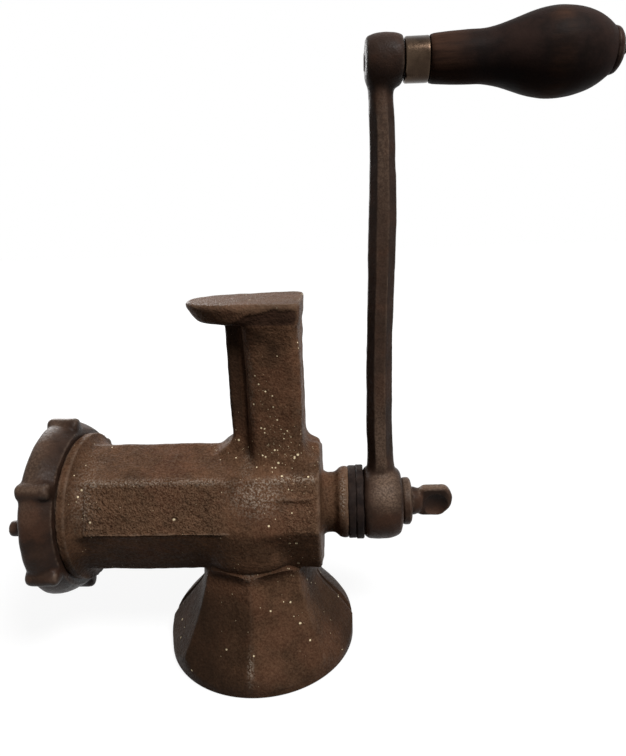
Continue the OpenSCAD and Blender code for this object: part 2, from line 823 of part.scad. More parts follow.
// Flat thumb piece with a dished hollow in each face
module thumb_piece(x) {
    dish_r = thumb_height * thumb_dish;
    ball_r = (dish_r * dish_r + dish_depth * dish_depth) / (2 * dish_depth);
    translate([x, 0, axis_z])
        rotate([90, 0, 0])
            difference() {
                linear_extrude(height = thumb_thickness, center = true)
                    polygon(soft_rectangle(thumb_length + 2 * sink, thumb_height, thumb_height / 3));
                for (side = [-1, 1])
                    translate([0, 0, side * (thumb_thickness / 2 + ball_r - dish_depth)])
                        sphere(r = ball_r, $fn = round_fn);
            }
}

// Thumb screw that holds the crank on the worm
module thumb_screw() {
    x = screw_x + neck_length;
    color("gray")
        union() {
            turned([
                [screw_tip, 0],
                [screw_tip, screw_d / 2 - short_step],
                [screw_tip + short_step, screw_d / 2],
                [screw_x, screw_d / 2],
                [screw_x, neck_d / 2],
                [screw_x + short_step, neck_d / 2],
                [x + 2 * sink, neck_d / 2 - washer_round],
                [x + 2 * sink, 0]], axis_z);
            thumb_piece(x + thumb_length / 2 - sink);
        }
}

// Bolt that the grip turns on, riveted at its end
module handle_bolt() {
    color("darkgray")
        turned([
            [eye_start - edge_break, 0],
            [eye_start - edge_break, bolt_r - short_step],
            [eye_start, bolt_r],
            [button_x, bolt_r],
            [button_x, rivet_d / 2],
            [button_x + button_height + edge_break, rivet_d / 2],
            [button_x + button_height + 2 * edge_break, rivet_d / 3],
            [button_x + button_height + 2 * edge_break, 0]], grip_z);
}

// Metal ferrule on the grip's inner end
module handle_ferrule() {
    r = ferrule_d / 2;
    color("peru")
        difference() {
            turned([
                [ferrule_x, 0],
                [ferrule_x, r - ferrule_break],
                [ferrule_x + ferrule_break, r],
                [grip_x - ferrule_break, r],
                [grip_x, r - ferrule_break],
                [grip_x, 0]], grip_z);
            bar(ferrule_x + ferrule_wall, ferrule_length + past, ferrule_d - 2 * ferrule_wall, grip_z);
            bar(ferrule_x - past, ferrule_length, bolt_d + 2 * run_fit, grip_z);
        }
}

// Radius of the wooden grip at a share of its length
function grip_r(t) =
    let (neck = grip_neck_d / 2, waist = grip_waist_d / 2, bulb = grip_bulb_d / 2)
    t < grip_slim ? blend(neck, waist, t / grip_slim)
    : t < grip_thickest ? blend(waist, bulb, ease((t - grip_slim) / (grip_thickest - grip_slim)))
    : bulb * sqrt(1 - pow((t - grip_thickest) / (1 + grip_blunt - grip_thickest), 2));

// Turned wooden grip
module handle_grip() {
    spigot_r = ferrule_d / 2 - ferrule_wall - slip_fit;
    spigot_x = ferrule_x + ferrule_wall + face_gap;
    color("brown")
        difference() {
            turned(concat(
                [[spigot_x, 0], [spigot_x, spigot_r], [grip_x + face_gap, spigot_r]],
                [for (i = [0 : 4 * steps])
                    let (t = i / (4 * steps))
                    [blend(grip_x + face_gap, grip_end, t), grip_r(t)]],
                [[grip_end, 0]]), grip_z);
            bar(ferrule_x, grip_end - ferrule_x + past, bolt_d + 2 * run_fit, grip_z);
        }
}

// Domed washer that the bolt is riveted over
module handle_button() {
    r = button_d / 2;
    color("dimgray")
        difference() {
            turned(concat(
                [[button_x, 0]],
                [for (i = [0 : steps])
                    let (a = 90 * i / steps)
                    [button_x + button_height * sin(a), blend(rivet_d / 2 + rivet_flat, r, cos(a))]],
                [[button_x + button_height, 0]]), grip_z);
            bar(button_x - past, button_height + 2 * past, rivet_d + 2 * slip_fit, grip_z);
        }
}

body_casting();
plate_key();
feed_worm();
worm_stud();
cutter_knife();
cutter_plate();
ring_nut();
thrust_washer();
seal_washer_inner();
seal_washer_outer();
crank_arm();
thumb_washer();
thumb_screw();
handle_bolt();
handle_ferrule();
handle_grip();
handle_button();
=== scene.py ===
"""Hand-cranked meat grinder, standing on its hopper rim: the cast, turned and wooden pieces.

The barrel lies along X with the crank at +X, Z is up and the near side is -Y.
Lengths are written in millimetres and turned into metres by mm()."""

import math

import bpy
from mathutils import Matrix, Vector, noise


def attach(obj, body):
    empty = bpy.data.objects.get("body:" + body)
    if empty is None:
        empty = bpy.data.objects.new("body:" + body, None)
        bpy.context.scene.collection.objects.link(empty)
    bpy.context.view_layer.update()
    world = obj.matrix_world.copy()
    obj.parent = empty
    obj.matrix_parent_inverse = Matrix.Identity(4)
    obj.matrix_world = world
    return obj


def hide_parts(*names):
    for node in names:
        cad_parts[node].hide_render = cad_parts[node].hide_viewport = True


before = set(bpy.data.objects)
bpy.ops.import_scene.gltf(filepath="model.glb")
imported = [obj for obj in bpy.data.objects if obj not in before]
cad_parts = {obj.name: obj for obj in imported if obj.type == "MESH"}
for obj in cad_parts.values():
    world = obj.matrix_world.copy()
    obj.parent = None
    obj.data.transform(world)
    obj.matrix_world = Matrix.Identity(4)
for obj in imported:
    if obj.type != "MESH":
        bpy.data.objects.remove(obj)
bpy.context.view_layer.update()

AXIS = 72.0  # height of the worm's axis
HANDLE = 261.0  # height of the handle's axis
THROW = HANDLE - AXIS  # length of the crank between the two
BARREL = 30.85  # radius of the barrel over its ridges
FACE_TILT = 67.5  # degrees that the barrel's upper near face leans from level
FLANGE = -82.0  # front face of the flange
BOSS_END = 44.42  # rear face of the boss
RIM = 45.3  # radius of the hopper's rim
NECK = 48.0  # height where the hopper's flare begins
LEG_TOP = 163.0  # height where the leg has run into the jaw
LUGS = 6  # grips round the ring
NEAR = 1e-6  # points closer than this, in metres, are one point
ALONG = Vector((1, 0, 0))
UP = Vector((0, 0, 1))


# ---------------------------------------------------------------- bench

def mm(x, y, z):
    """A place in millimetres, in metres."""
    return Vector((x, y, z)) * 0.001


def fade(a, b, value):
    """Smooth step from 0 at a to 1 at b."""
    t = max(0.0, min(1.0, (value - a) / (b - a)))
    return t * t * (3 - 2 * t)


def mound(value, middle, spread):
    """Bell-shaped weight about a middle."""
    return math.exp(-((value - middle) / spread) ** 2)


def blend(a, b, t):
    return a + (b - a) * t


def mode(name):
    bpy.ops.object.mode_set(mode=name)


def clear():
    """Nothing open and nothing selected."""
    if bpy.context.object and bpy.context.object.mode != "OBJECT":
        mode("OBJECT")
    bpy.ops.object.select_all(action="DESELECT")


def every():
    """Everything selected, in edit mode."""
    bpy.ops.mesh.select_all(action="SELECT")


def face_out():
    """All faces turned outwards, in edit mode."""
    every()
    bpy.ops.mesh.normals_make_consistent(inside=False)


def pull(x, y, z):
    """Pulls the selected faces out by a step in millimetres."""
    bpy.ops.mesh.extrude_region_move(TRANSFORM_OT_translate={"value": mm(x, y, z)})


def take(piece):
    """One piece in hand."""
    clear()
    piece.select_set(True)
    bpy.context.view_layer.objects.active = piece


def settle(name):
    """Names the new piece and puts its place into its mesh."""
    if bpy.context.object.mode != "OBJECT":
        mode("OBJECT")
    piece = bpy.context.object
    piece.name = name
    piece.data.name = name
    take(piece)
    bpy.ops.object.transform_apply(location=True, rotation=True, scale=True)
    return piece


def pick(piece, kind, parts, test):
    """Opens a piece with those of its points, edges or faces selected that pass the test."""
    take(piece)
    mode("EDIT")
    bpy.ops.mesh.select_mode(type=kind)
    bpy.ops.mesh.select_all(action="DESELECT")
    mode("OBJECT")
    for part in getattr(piece.data, parts):
        part.select = test(part)
    mode("EDIT")


def pick_points(piece, test):
    """Picks points by their place."""
    pick(piece, "VERT", "vertices", lambda point: test(point.co * 1000))


def pick_edges(piece, test):
    """Picks edges by the places of their two ends."""
    pick(piece, "EDGE", "edges", lambda edge: test(*(piece.data.vertices[i].co * 1000 for i in edge.vertices)))


def pick_faces(piece, test):
    """Picks faces by their middle and their normal."""
    pick(piece, "FACE", "polygons", lambda face: test(face.center * 1000, face.normal))


def finish_with(piece, kind, **settings):
    """Puts a modifier on a piece and applies it."""
    take(piece)
    tool = piece.modifiers.new(kind.lower(), kind)
    for key, value in settings.items():
        setattr(tool, key, value)
    bpy.ops.object.modifier_apply(modifier=tool.name)
    return piece


def scrap(piece):
    clear()
    mesh = piece.data
    bpy.data.objects.remove(piece)
    bpy.data.meshes.remove(mesh)


def cut(piece, tool, how="DIFFERENCE"):
    """Cuts a piece with another one, which is used up."""
    finish_with(piece, "BOOLEAN", object=tool, operation=how, solver="MANIFOLD")
    scrap(tool)
    return piece


def weld(name, *pieces):
    """Joins pieces into one object."""
    clear()
    for piece in pieces:
        piece.select_set(True)
    bpy.context.view_layer.objects.active = pieces[0]
    bpy.ops.object.join()
    return settle(name)


def fuse(piece, size):
    """Melts overlapping forms into one skin of small squares, whose size is in metres."""
    finish_with(piece, "REMESH", mode="VOXEL", voxel_size=size)


def soften(piece, rounds, group=""):
    finish_with(piece, "SMOOTH", factor=0.5, iterations=rounds, vertex_group=group)


def weigh(piece, name, rule):
    """Vertex group whose weights follow from each point's place."""
    group = piece.vertex_groups.new(name=name)
    for point in piece.data.vertices:
        weight = rule(point.co.x * 1000, point.co.y * 1000, point.co.z * 1000)
        if weight > 0.01:
            group.add([point.index], min(1.0, weight), "REPLACE")
    return name


def paint(piece, name, rule):
    """Attribute on the points of a piece that its material reads."""
    layer = piece.data.attributes.new(name, "FLOAT", "POINT")
    values = [rule(p.co * 1000, p.normal) for p in piece.data.vertices]
    layer.data.foreach_set("value", values)


def lumps(name, size, depth=2):
    """Cloud pattern that roughens a surface."""
    pattern = bpy.data.textures.new(name, "CLOUDS")
    pattern.noise_scale = size * 0.001
    pattern.noise_depth = depth
    return pattern


def roughen(piece, pattern, height, group=""):
    finish_with(piece, "DISPLACE", texture=pattern, texture_coords="LOCAL",
                strength=height * 0.001, mid_level=0.5, vertex_group=group)


def close_up():
    """Merges the points that meet and turns all faces outwards, in edit mode."""
    every()
    bpy.ops.mesh.remove_doubles(threshold=NEAR)
    bpy.ops.mesh.normals_make_consistent(inside=False)


def draw_line(points):
    """A chain of edges through the points, left open in edit mode."""
    clear()
    bpy.ops.mesh.primitive_plane_add(size=0.001, location=points[0])
    mode("EDIT")
    bpy.ops.mesh.select_mode(type="VERT")
    every()
    bpy.ops.mesh.merge(type="CENTER")
    for a, b in zip(points, points[1:]):
        bpy.ops.mesh.extrude_vertices_move(TRANSFORM_OT_translate={"value": b - a})
    every()


def turn(name, profile, height, steps=96, ring=False):
    """Turned piece about a line along X, from points of position and radius."""
    centre = mm(0, 0, height)
    points = [centre + mm(x, 0, r) for x, r in profile]
    draw_line(points + points[:1] if ring else points)
    bpy.ops.mesh.remove_doubles(threshold=NEAR)
    every()
    bpy.ops.mesh.spin(steps=steps, angle=2 * math.pi, center=centre, axis=ALONG)
    close_up()
    return settle(name)


def turn_upright(name, profile, steps=128):
    """Turned piece about the hopper's upright axis, from points of radius and height."""
    draw_line([mm(r, 0, z) for r, z in profile])
    bpy.ops.mesh.spin(steps=steps, angle=2 * math.pi, center=(0, 0, 0), axis=UP)
    close_up()
    return settle(name)


def eased(profile, radius, steps=5):
    """A profile with its inner corners rounded."""
    points = [Vector(p) for p in profile]
    out = [points[0]]
    for a, b, c in zip(points, points[1:], points[2:]):
        before, after = (a - b), (c - b)
        r = min(radius, 0.45 * before.length, 0.45 * after.length)
        p, q = b + before.normalized() * r, b + after.normalized() * r
        for i in range(steps + 1):
            t = i / steps
            out.append(p * (1 - t) ** 2 + b * 2 * t * (1 - t) + q * t ** 2)
    return out + [points[-1]]


def raise_outline(name, outline, centre, sections):
    """Outline of (x, y) points raised through sections of height, x scale, y scale and x shift."""
    cx, cy = centre
    z0, sx, sy, shift = sections[0]
    draw_line([mm(cx + (x - cx) * sx + shift, cy + (y - cy) * sy, z0) for x, y in outline + outline[:1]])
    bpy.ops.mesh.remove_doubles(threshold=NEAR)
    every()
    bpy.ops.mesh.edge_face_add()
    for (za, ax, ay, sa), (zb, bx, by, sb) in zip(sections, sections[1:]):
        pull(sb - sa, 0, zb - za)
        bpy.ops.transform.resize(value=(bx / ax, by / ay, 1), center_override=mm(cx + sb, cy, zb))
    face_out()
    return settle(name)


def round_bar(name, x0, x1, radius, height, sides=96):
    """Round bar along X, used for cutting."""
    clear()
    bpy.ops.mesh.primitive_cylinder_add(
        vertices=sides, radius=radius * 0.001, depth=(x1 - x0) * 0.001,
        location=mm((x0 + x1) / 2, 0, height), rotation=(0, math.pi / 2, 0))
    return settle(name)


def block(name, low, high):
    """Square block between two corners, used for cutting."""
    clear()
    bpy.ops.mesh.primitive_cube_add(size=1, location=mm(*[(a + b) / 2 for a, b in zip(low, high)]),
                                    scale=mm(*[b - a for a, b in zip(low, high)]))
    return settle(name)


def turned_copy(piece, name, angle):
    """Copy of a piece with its own mesh, turned about the worm's axis from up towards the near side."""
    take(piece)
    bpy.ops.object.duplicate(linked=False)
    copy = bpy.context.object
    pivot = Matrix.Translation(mm(0, 0, AXIS))
    copy.matrix_world = pivot @ Matrix.Rotation(math.radians(angle), 4, "X") @ pivot.inverted()
    return settle(name)


def thread(name, radius, depth, pitch, start, turns, height, steps=72):
    """Screw thread: one ridge wound along X, with closed ends."""
    root = radius - depth - 0.25
    ridge = [(start, root), (start + 0.5 * pitch, radius), (start + pitch * 0.98, root)]
    points = [mm(x, 0, height + r) for x, r in ridge]
    draw_line(points + points[:1])
    bpy.ops.mesh.remove_doubles(threshold=NEAR)
    piece = settle(name)
    bpy.context.scene.cursor.location = mm(0, 0, height)
    bpy.ops.object.origin_set(type="ORIGIN_CURSOR")
    finish_with(piece, "SCREW", axis="X", screw_offset=pitch * 0.001, iterations=turns,
                angle=2 * math.pi, steps=steps, render_steps=steps, use_merge_vertices=False)
    mode("EDIT")
    every()
    bpy.ops.mesh.remove_doubles(threshold=NEAR)
    bpy.ops.mesh.fill_holes(sides=0)
    face_out()
    return settle(name)


def smooth(piece, angle):
    """Last step of a piece: drops its working groups and shades it, with edges over the angle left sharp."""
    piece.vertex_groups.clear()
    take(piece)
    bpy.ops.object.shade_smooth_by_angle(angle=math.radians(angle))


# ---------------------------------------------------------------- casting

def make_barrel():
    clear()
    bpy.ops.mesh.primitive_cylinder_add(
        vertices=8, radius=BARREL * 0.001, depth=0.110, location=mm(-23, 0, AXIS), rotation=(0, math.pi / 2, 0))
    barrel = settle("barrel")
    pick_edges(barrel, lambda a, b: abs(a.x - b.x) > 50)
    bpy.ops.mesh.bevel(offset=0.0007, segments=2, affect="EDGES")
    mode("OBJECT")
    pick_faces(barrel, lambda c, n: n.x > 0.9)
    bpy.ops.mesh.bevel(offset=0.0012, segments=2, affect="EDGES")
    return settle("barrel")


def make_flange():
    hollow = [(-78 + 10 * (1 - math.cos(a)), 28 + 6.6 * (1 - math.sin(a)))
              for a in (i * math.pi / 24 for i in range(13))]
    return turn("flange", [(FLANGE, 0), (FLANGE, 34.1), (-81.4, 34.6)] + hollow + [(-68, 0)], AXIS)


def make_swell():
    """Eight-sided bulge where barrel, hopper and leg run into each other, with a round belly over the hopper."""
    profile = [(x, 30.4 + 2.2 * mound(x, 3, 13)) for x in range(-33, 30, 3)]
    bulge = turn("bulge", [(-36, 0)] + profile + [(29.5, 0)], AXIS, 8)
    belly = turn_upright("belly", [(0, 50.5), (28.6, 50.5), (30.2, 52.5), (31.1, 55.5), (31.8, 61), (32.3, 67),
                                   (32.4, AXIS), (0, AXIS)], 96)
    belly.scale = (0.88, 1, 1)
    return bulge, settle("belly")


def make_boss():
    root = [(32 + 3 * (1 - math.cos(a)), 14 + 3 * (1 - math.sin(a))) for a in (i * math.pi / 12 for i in range(7))]
    lip = eased([(38.5, 14), (40.3, 16.2), (42.6, 16.8), (44.6, 16.5), (44.6, 0)], 0.7)
    return turn("boss", [(28, 0), (28, 17)] + root + lip, AXIS)


def flare(z):
    """Opening of the hopper: 0 at its neck and 1 at its mouth."""
    return max(0.0, (NECK - z) / NECK) ** 1.35


def ridge_radius(z):
    """Half width of the hopper over its ridges: flared at the mouth, run out under the swell."""
    return 29.6 + 21.9 * flare(z) + 0.08 * max(0, z - 46) ** 2


def make_hopper():
    """Eight-sided flare between a round rim and the round belly, so that each face ends in a bow at both ends."""
    clear()
    bpy.ops.mesh.primitive_circle_add(vertices=8, radius=ridge_radius(0) * 0.001, fill_type="NGON",
                                      location=mm(0, 0, 0))
    mode("EDIT")
    every()
    for z in range(2, 59, 2):
        wider = ridge_radius(z) / ridge_radius(z - 2)
        pull(0, 0, 2)
        bpy.ops.transform.resize(value=(wider, wider, 1), center_override=mm(0, 0, z))
    face_out()
    hopper = settle("hopper")
    for z in range(2, 49, 2):
        pick_points(hopper, lambda c: abs(c.y) < 1 and abs(c.z - z) < 0.5)
        bpy.ops.transform.resize(value=(1 - 0.17 * mound(z, 33, 12), 1, 1), center_override=mm(0, 0, z))
    hopper = settle("hopper")
    pick_edges(hopper, lambda a, b: abs(a.z - b.z) > 1)
    bpy.ops.mesh.bevel(offset=0.0006, segments=2, affect="EDGES")
    hopper = settle("hopper")
    pick_edges(hopper, lambda a, b: (a - b).length > 8)
    bpy.ops.mesh.subdivide(number_cuts=19)
    hopper = settle("hopper")
    mouth = [(0, 0), (43.4, 0)] + eased([(44.0, 0), (RIM, 0.2), (RIM, 3)], 1.5) + [
        (RIM, 45), (30.2, 46.5), (29.9, 48), (29.8, 50), (28.8, 53), (26.5, 57), (0, 57.5)]
    cut(hopper, turn_upright("mouth", mouth, 192), "INTERSECT")
    cut(hopper, make_bell(), "UNION")
    weigh(hopper, "seam", lambda x, y, z: fade(0, 2.5, y) * fade(9, 6, y) * fade(0.5, 3, z))
    soften(hopper, 10, "seam")
    return hopper


def make_bell():
    """Round far side of the hopper, whose shoulders show past the eight-sided front."""
    profile = eased([(45.25, 0.1), (45.25, 10.8), (41, 17.5), (31, 28), (25.5, 38), (24.5, 46)], 3)
    bell = turn_upright("bell", [(0, 0.1)] + profile + [(0, 46)])
    return cut(bell, block("near_half", (-60, -60, -5), (60, 4, 60)))


def soft_box(x0, x1, half, corner_front, corner_rear, steps=6):
    """Rounded rectangle as (x, y) points, with its own rounding at the front and rear corners."""
    points = []
    for x, y, r, start in ((x1, -half, corner_rear, -90), (x1, half, corner_rear, 0),
                           (x0, half, corner_front, 90), (x0, -half, corner_front, 180)):
        cx = x - r if x == x1 else x + r
        cy = y + r if y < 0 else y - r
        for i in range(steps + 1):
            a = math.radians(start + 90 * i / steps)
            points.append((cx + r * math.cos(a), cy + r * math.sin(a)))
    return points


def root_growth(z):
    """Hollow fillet of the leg where it stands on the barrel."""
    t = max(0.0, min(1.0, (109.9 - z) / 7))
    return 7 * (1 - math.sqrt(1 - t * t))


def side_growth(z):
    """Spread of the leg to both sides, down to the barrel's flanks."""
    t = max(0.0, min(1.0, (112.9 - z) / 26.6))
    return 15 * (1 - math.sqrt(1 - 0.96 * t * t))


def top_growth(z):
    """Spread of the leg under the jaw."""
    return 3.0 * fade(146, LEG_TOP, z) ** 1.5


def make_leg():
    heights = [86.3, 90, 94, 97, 99, 101, 103, 105, 107, 109, 111, 113, 128, 145, 150, 154, 157, 160, LEG_TOP]
    web = raise_outline("web", soft_box(-7.4, 6, 8.5, 2.2, 1.0), (6, 0), [
        (z, (13.4 + root_growth(z)) / 13.4, (8.5 + 0.4 * side_growth(z)) / 8.5, 0) for z in heights])
    rib = raise_outline("rib", soft_box(1, 25, 15, 5.5, 4.0), (1, 0), [
        (z, (24 + 0.92 * root_growth(z + 3.5)) / 24, (15 + side_growth(z) + top_growth(z)) / 15, 0) for z in heights])
    return web, rib


def make_jaw():
    """Tongue with a drafted side and a flat top."""
    outline = []
    for start in (-90, 0):
        for i in range(6):
            a = math.radians(start + 90 * i / 5)
            outline.append((21 + 5 * math.cos(a), (-15 if start < 0 else 15) + 5 * math.sin(a)))
    for i in range(1, 25):
        a = math.radians(90 + 180 * i / 25)
        outline.append((2 + 27 * math.cos(a), 20 * math.sin(a)))
    shape = [(161, 5.0), (163.2, 3.2), (165.2, 1.8), (167.2, 0.5), (168.6, 0.0), (169.5, 0.5), (170, 1.6)]
    return raise_outline("jaw", outline, (22, 0), [
        (z, (47 - inset) / 47, (20 - 0.4 * inset) / 20, 0) for z, inset in shape])


def make_panel():
    """Bare, slightly proud panel of rough cast on the barrel's upper near face."""
    clear()
    bpy.ops.mesh.primitive_grid_add(x_subdivisions=112, y_subdivisions=36, size=1, location=(0, 0, 0))
    bpy.context.object.scale = (0.068, 0.0226, 1)
    panel = settle("panel")
    mode("EDIT")
    every()
    pull(0, 0, -4)
    face_out()
    panel = settle("panel")
    weigh(panel, "face", lambda x, y, z: fade(-1, -0.5, z) * fade(34, 32.5, abs(x)) * fade(11.3, 10.2, abs(y)))
    roughen(panel, lumps("grit", 1.5, 2), 0.42, "face")
    roughen(panel, lumps("coarse_grit", 3.4, 1), 0.22, "face")
    panel.vertex_groups.clear()
    lean = Matrix.Rotation(math.radians(FACE_TILT), 4, "X")
    panel.matrix_world = Matrix.Translation(mm(0, 0, AXIS)) @ lean @ Matrix.Translation(mm(-37.5, 0, 29.05))
    return settle("panel")


def chip_edge(x):
    """Height of the broken patch's upper border on the jaw's near side."""
    ragged = 0.8 * noise.noise(Vector((x * 0.21, 3.0, 0)))
    return 161.4 + 4.6 * fade(-5, 7, x) + ragged + 1.8 * mound(x, 15, 3.0) + 0.9 * fade(13, 22, x)


def chip_mask(x, y, z):
    """Share of the broken patch at a place."""
    return fade(-16.0, -17.2, y) * fade(-6, -4, x) * fade(25.2, 24.2, x) * fade(160.4, 161.2, z) * fade(
        chip_edge(x) + 0.45, chip_edge(x) - 0.45, z)


def make_casting():
    """The whole casting: rough form, soft crossings, crisp hopper and panel, sand skin, then the hollows."""
    casting = weld("cast_body", make_barrel(), make_flange(), make_boss(), *make_swell(), *make_leg(), make_jaw(),
                   round_bar("collar", -90.5, -80, 32.1, AXIS, 160))
    fuse(casting, 0.00084)
    weigh(casting, "crossing", lambda x, y, z: fade(-25, -12, x) * fade(31, 25, x) * fade(118, 104, z) * (
        1 - 0.9 * fade(-4, 4, x) * fade(72, 93, z) * fade(102, 96, z)))
    soften(casting, 40, "crossing")
    weigh(casting, "fillets", lambda x, y, z: max(
        fade(151, 158, z) * fade(166, 161, z), fade(-72, -66, x) * fade(-60, -64, x) * 0.5,
        fade(22, 27, x) * fade(111, 107, z) * fade(98, 101, z)))
    soften(casting, 22, "fillets")
    soften(casting, 1)
    cut(casting, make_hopper(), "UNION")
    cut(casting, make_panel(), "UNION")
    weigh(casting, "sand", lambda x, y, z: fade(-82.5, -81, x) * fade(43.5, 41, x) * fade(0.3, 3, z))
    roughen(casting, lumps("long_waves", 16), 0.75, "sand")
    roughen(casting, lumps("sand_waves", 5), 0.30, "sand")
    weigh(casting, "edge_of_leg", lambda x, y, z: fade(21, 24, x) * fade(106, 112, z) * fade(166, 160, z))
    roughen(casting, lumps("leg_waves", 7), 0.9, "edge_of_leg")
    weigh(casting, "chip", chip_mask)
    finish_with(casting, "DISPLACE", strength=-0.00026, mid_level=0.0, vertex_group="chip")
    cut(casting, block("under_rim", (-60, -60, -9), (60, 60, 0.12)))
    cut(casting, block("behind_boss", (BOSS_END, -30, 40), (60, 30, 110)))
    cut(casting, round_bar("chamber", -95, 24, 24, AXIS, 128))
    cut(casting, round_bar("seat", -95, -80.5, 30.6, AXIS, 160))
    cut(casting, round_bar("bearing", 20, 50, 10.2, AXIS, 96))
    throat = [(20.5 + 20.8 * flare(z), z) for z in range(0, 49, 3)]
    funnel = [(0, -2), (41.3, -2)] + throat + [(20.5, AXIS), (0, AXIS)]
    cut(casting, turn_upright("funnel", funnel))
    smooth(casting, 38)
    return casting


def panel_grit(x, y, z):
    """Coarse sand grain: strongest on the bare panel, some of it behind the swell."""
    around = math.degrees(math.atan2(z - AXIS, -y))
    face = fade(-3, 2, around) * fade(48, 43, around)
    return face * max(fade(-73, -69, x) * fade(-6, -16, x), 0.8 * fade(12, 20, x) * fade(32, 30, x))


def on_outside(p):
    """True on the casting's outer skin, away from the chamber and the bearing."""
    off_axis = math.hypot(p.y, p.z - AXIS)
    return off_axis > 25 or p.z > 100 or (p.x > 35 and off_axis > 12)


def facing(n):
    """1 on faces turned to the near side, 0 on those turned away."""
    return fade(0.45, 0.1, n.y)


def painted_glint(p, n):
    """Painted glints: bare grains drawn bright, as if catching the light."""
    return facing(n) * min(1.0, (
        1.00 * mound(p.x, 16.5, 7) * mound(p.z, 107, 7)  # root of the leg
        + 0.60 * mound(p.x, 11, 3.5) * mound(p.z, 124, 14)  # up the rib
        + 0.50 * mound(p.x, -8, 6) * mound(p.z, 106, 6)  # root of the web
        + 0.45 * mound(p.x, 17, 10) * mound(p.z, 100, 7)  # over the swell
        + 0.16 * mound(p.x, 22, 9) * mound(p.z, 60, 24)  # rear of the swell and hopper
        + 0.15 * mound(p.x, 18, 5) * mound(p.z, 152, 7)  # under the jaw
        + 0.20 * mound(p.x, -72, 5) * mound(p.z, 86, 12)  # hollow behind the flange
        + 0.028))  # a few everywhere


def painted_highlight(p, n):
    """Painted highlight, laid as paler rubbed-looking grains where light catches the swell's crown, the ridges, the
    boss's lip and the hopper's middle ridge.
    """
    if not on_outside(p):
        return 0.0
    # lip: faces turned towards the lamp at the upper front
    lip = fade(0.62, 0.95, n.dot(Vector((0.1, -0.8, 0.6))))
    web = fade(-0.2, -0.6, n.x) * fade(-9, -12, p.y) * fade(112, 120, p.z) * fade(158, 150, p.z)
    return facing(n) * min(1.0, (
        1.00 * mound(p.x, 5, 9.5) * mound(p.z, 88, 6.5) * fade(96, 93, p.z)  # crown of the swell
        + 0.35 * mound(p.x, 0, 2.5) * mound(p.z, 98, 5)  # foot of the web
        + 0.80 * fade(-73, -70, p.x) * fade(-4, -16, p.x) * mound(p.z, 93.2, 1.0)  # ridge over the panel
        + 0.80 * fade(2, 10, p.x) * fade(32, 29, p.x) * mound(p.z, 93.6, 1.1)  # ridge behind the swell
        + 0.80 * mound(p.x, 41.8, 1.3) * lip  # lip of the boss
        + 0.30 * web  # edge of the web
        + 0.45 * mound(p.x, -71, 5) * mound(p.z, 88, 13)  # hollow behind the flange
        + 0.50 * mound(p.x, 0, 3) * mound(p.z, 50, 3)  # tip under the swell
        + 0.80 * mound(p.x, 0, 1.0) * mound(p.z, 14, 5)))  # middle ridge of the hopper


def streaks_and_lit_edge(p, n):
    """Pale wiped lines on the jaw's top, and on its near edge a painted lightening of a side that lies in shade."""
    top = fade(0.5, 0.9, n.z) * fade(168.2, 169.2, p.z)
    # near edge: painted light on a side turned down from the lamp
    edge = fade(-0.1, -0.5, n.y) * fade(161, 162.5, p.z) * fade(169.5, 168.5, p.z)
    return max(0.5 * top, edge * (1 - chip_mask(*p)))


def painted_shade(p, n):
    """Painted shade: darker where shade falls, on the web beside the rib, under the jaw, on the lower hopper, rim and
    barrel, behind the flange, under the swell and on the jaw's top.
    """
    on_rib = fade(-10, -13, p.y)
    return min(1.0, (
        0.9 * fade(-0.4, -2.2, p.x) * fade(106, 122, p.z) * fade(163, 160, p.z) * fade(-2, -5, p.y)  # web, painted shadow of the rib
        + 0.95 * mound(p.x, 7.5, 5.0) * mound(p.z, 156, 4.5) * on_rib  # painted shade under the jaw
        + 0.70 * mound(p.x, 14.5, 3.5) * mound(p.z, 150, 6) * on_rib  # its run downwards
        + 0.58 * fade(46, 34, p.z) * (1 - 0.55 * fade(0, 3, p.x) * fade(-10, -24, p.y))  # hopper, less where lit
        + 0.30 * fade(12, 5, p.z)  # rim
        + 0.25 * fade(8, 16, p.x) * fade(42, 34, p.z) * fade(-24, -12, p.y)  # rear of the hopper
        + 0.22 * mound(p.x, -76, 7)  # behind the flange
        + 0.35 * mound(p.z, 53, 2.5) * fade(3, 8, abs(p.x))  # edge under the swell
        + 0.40 * fade(0.5, 0.9, n.z) * fade(168.2, 169.2, p.z)  # top of the jaw
        + 0.22 * fade(73, 70, p.z) * fade(46, 52, p.z)  # lower half of the barrel
        + 0.40 * fade(66, 58, p.z) * fade(-8, -20, p.x)))  # its lower near face


def paint_casting(casting):
    paint(casting, "grit", lambda p, n: panel_grit(*p) if on_outside(p) else 0.0)
    paint(casting, "painted_glint", painted_glint)
    paint(casting, "painted_highlight", painted_highlight)
    paint(casting, "chip", lambda p, n: chip_mask(*p))
    paint(casting, "streaks_and_lit_edge", streaks_and_lit_edge)
    paint(casting, "painted_shade", painted_shade)


# ---------------------------------------------------------------- ring

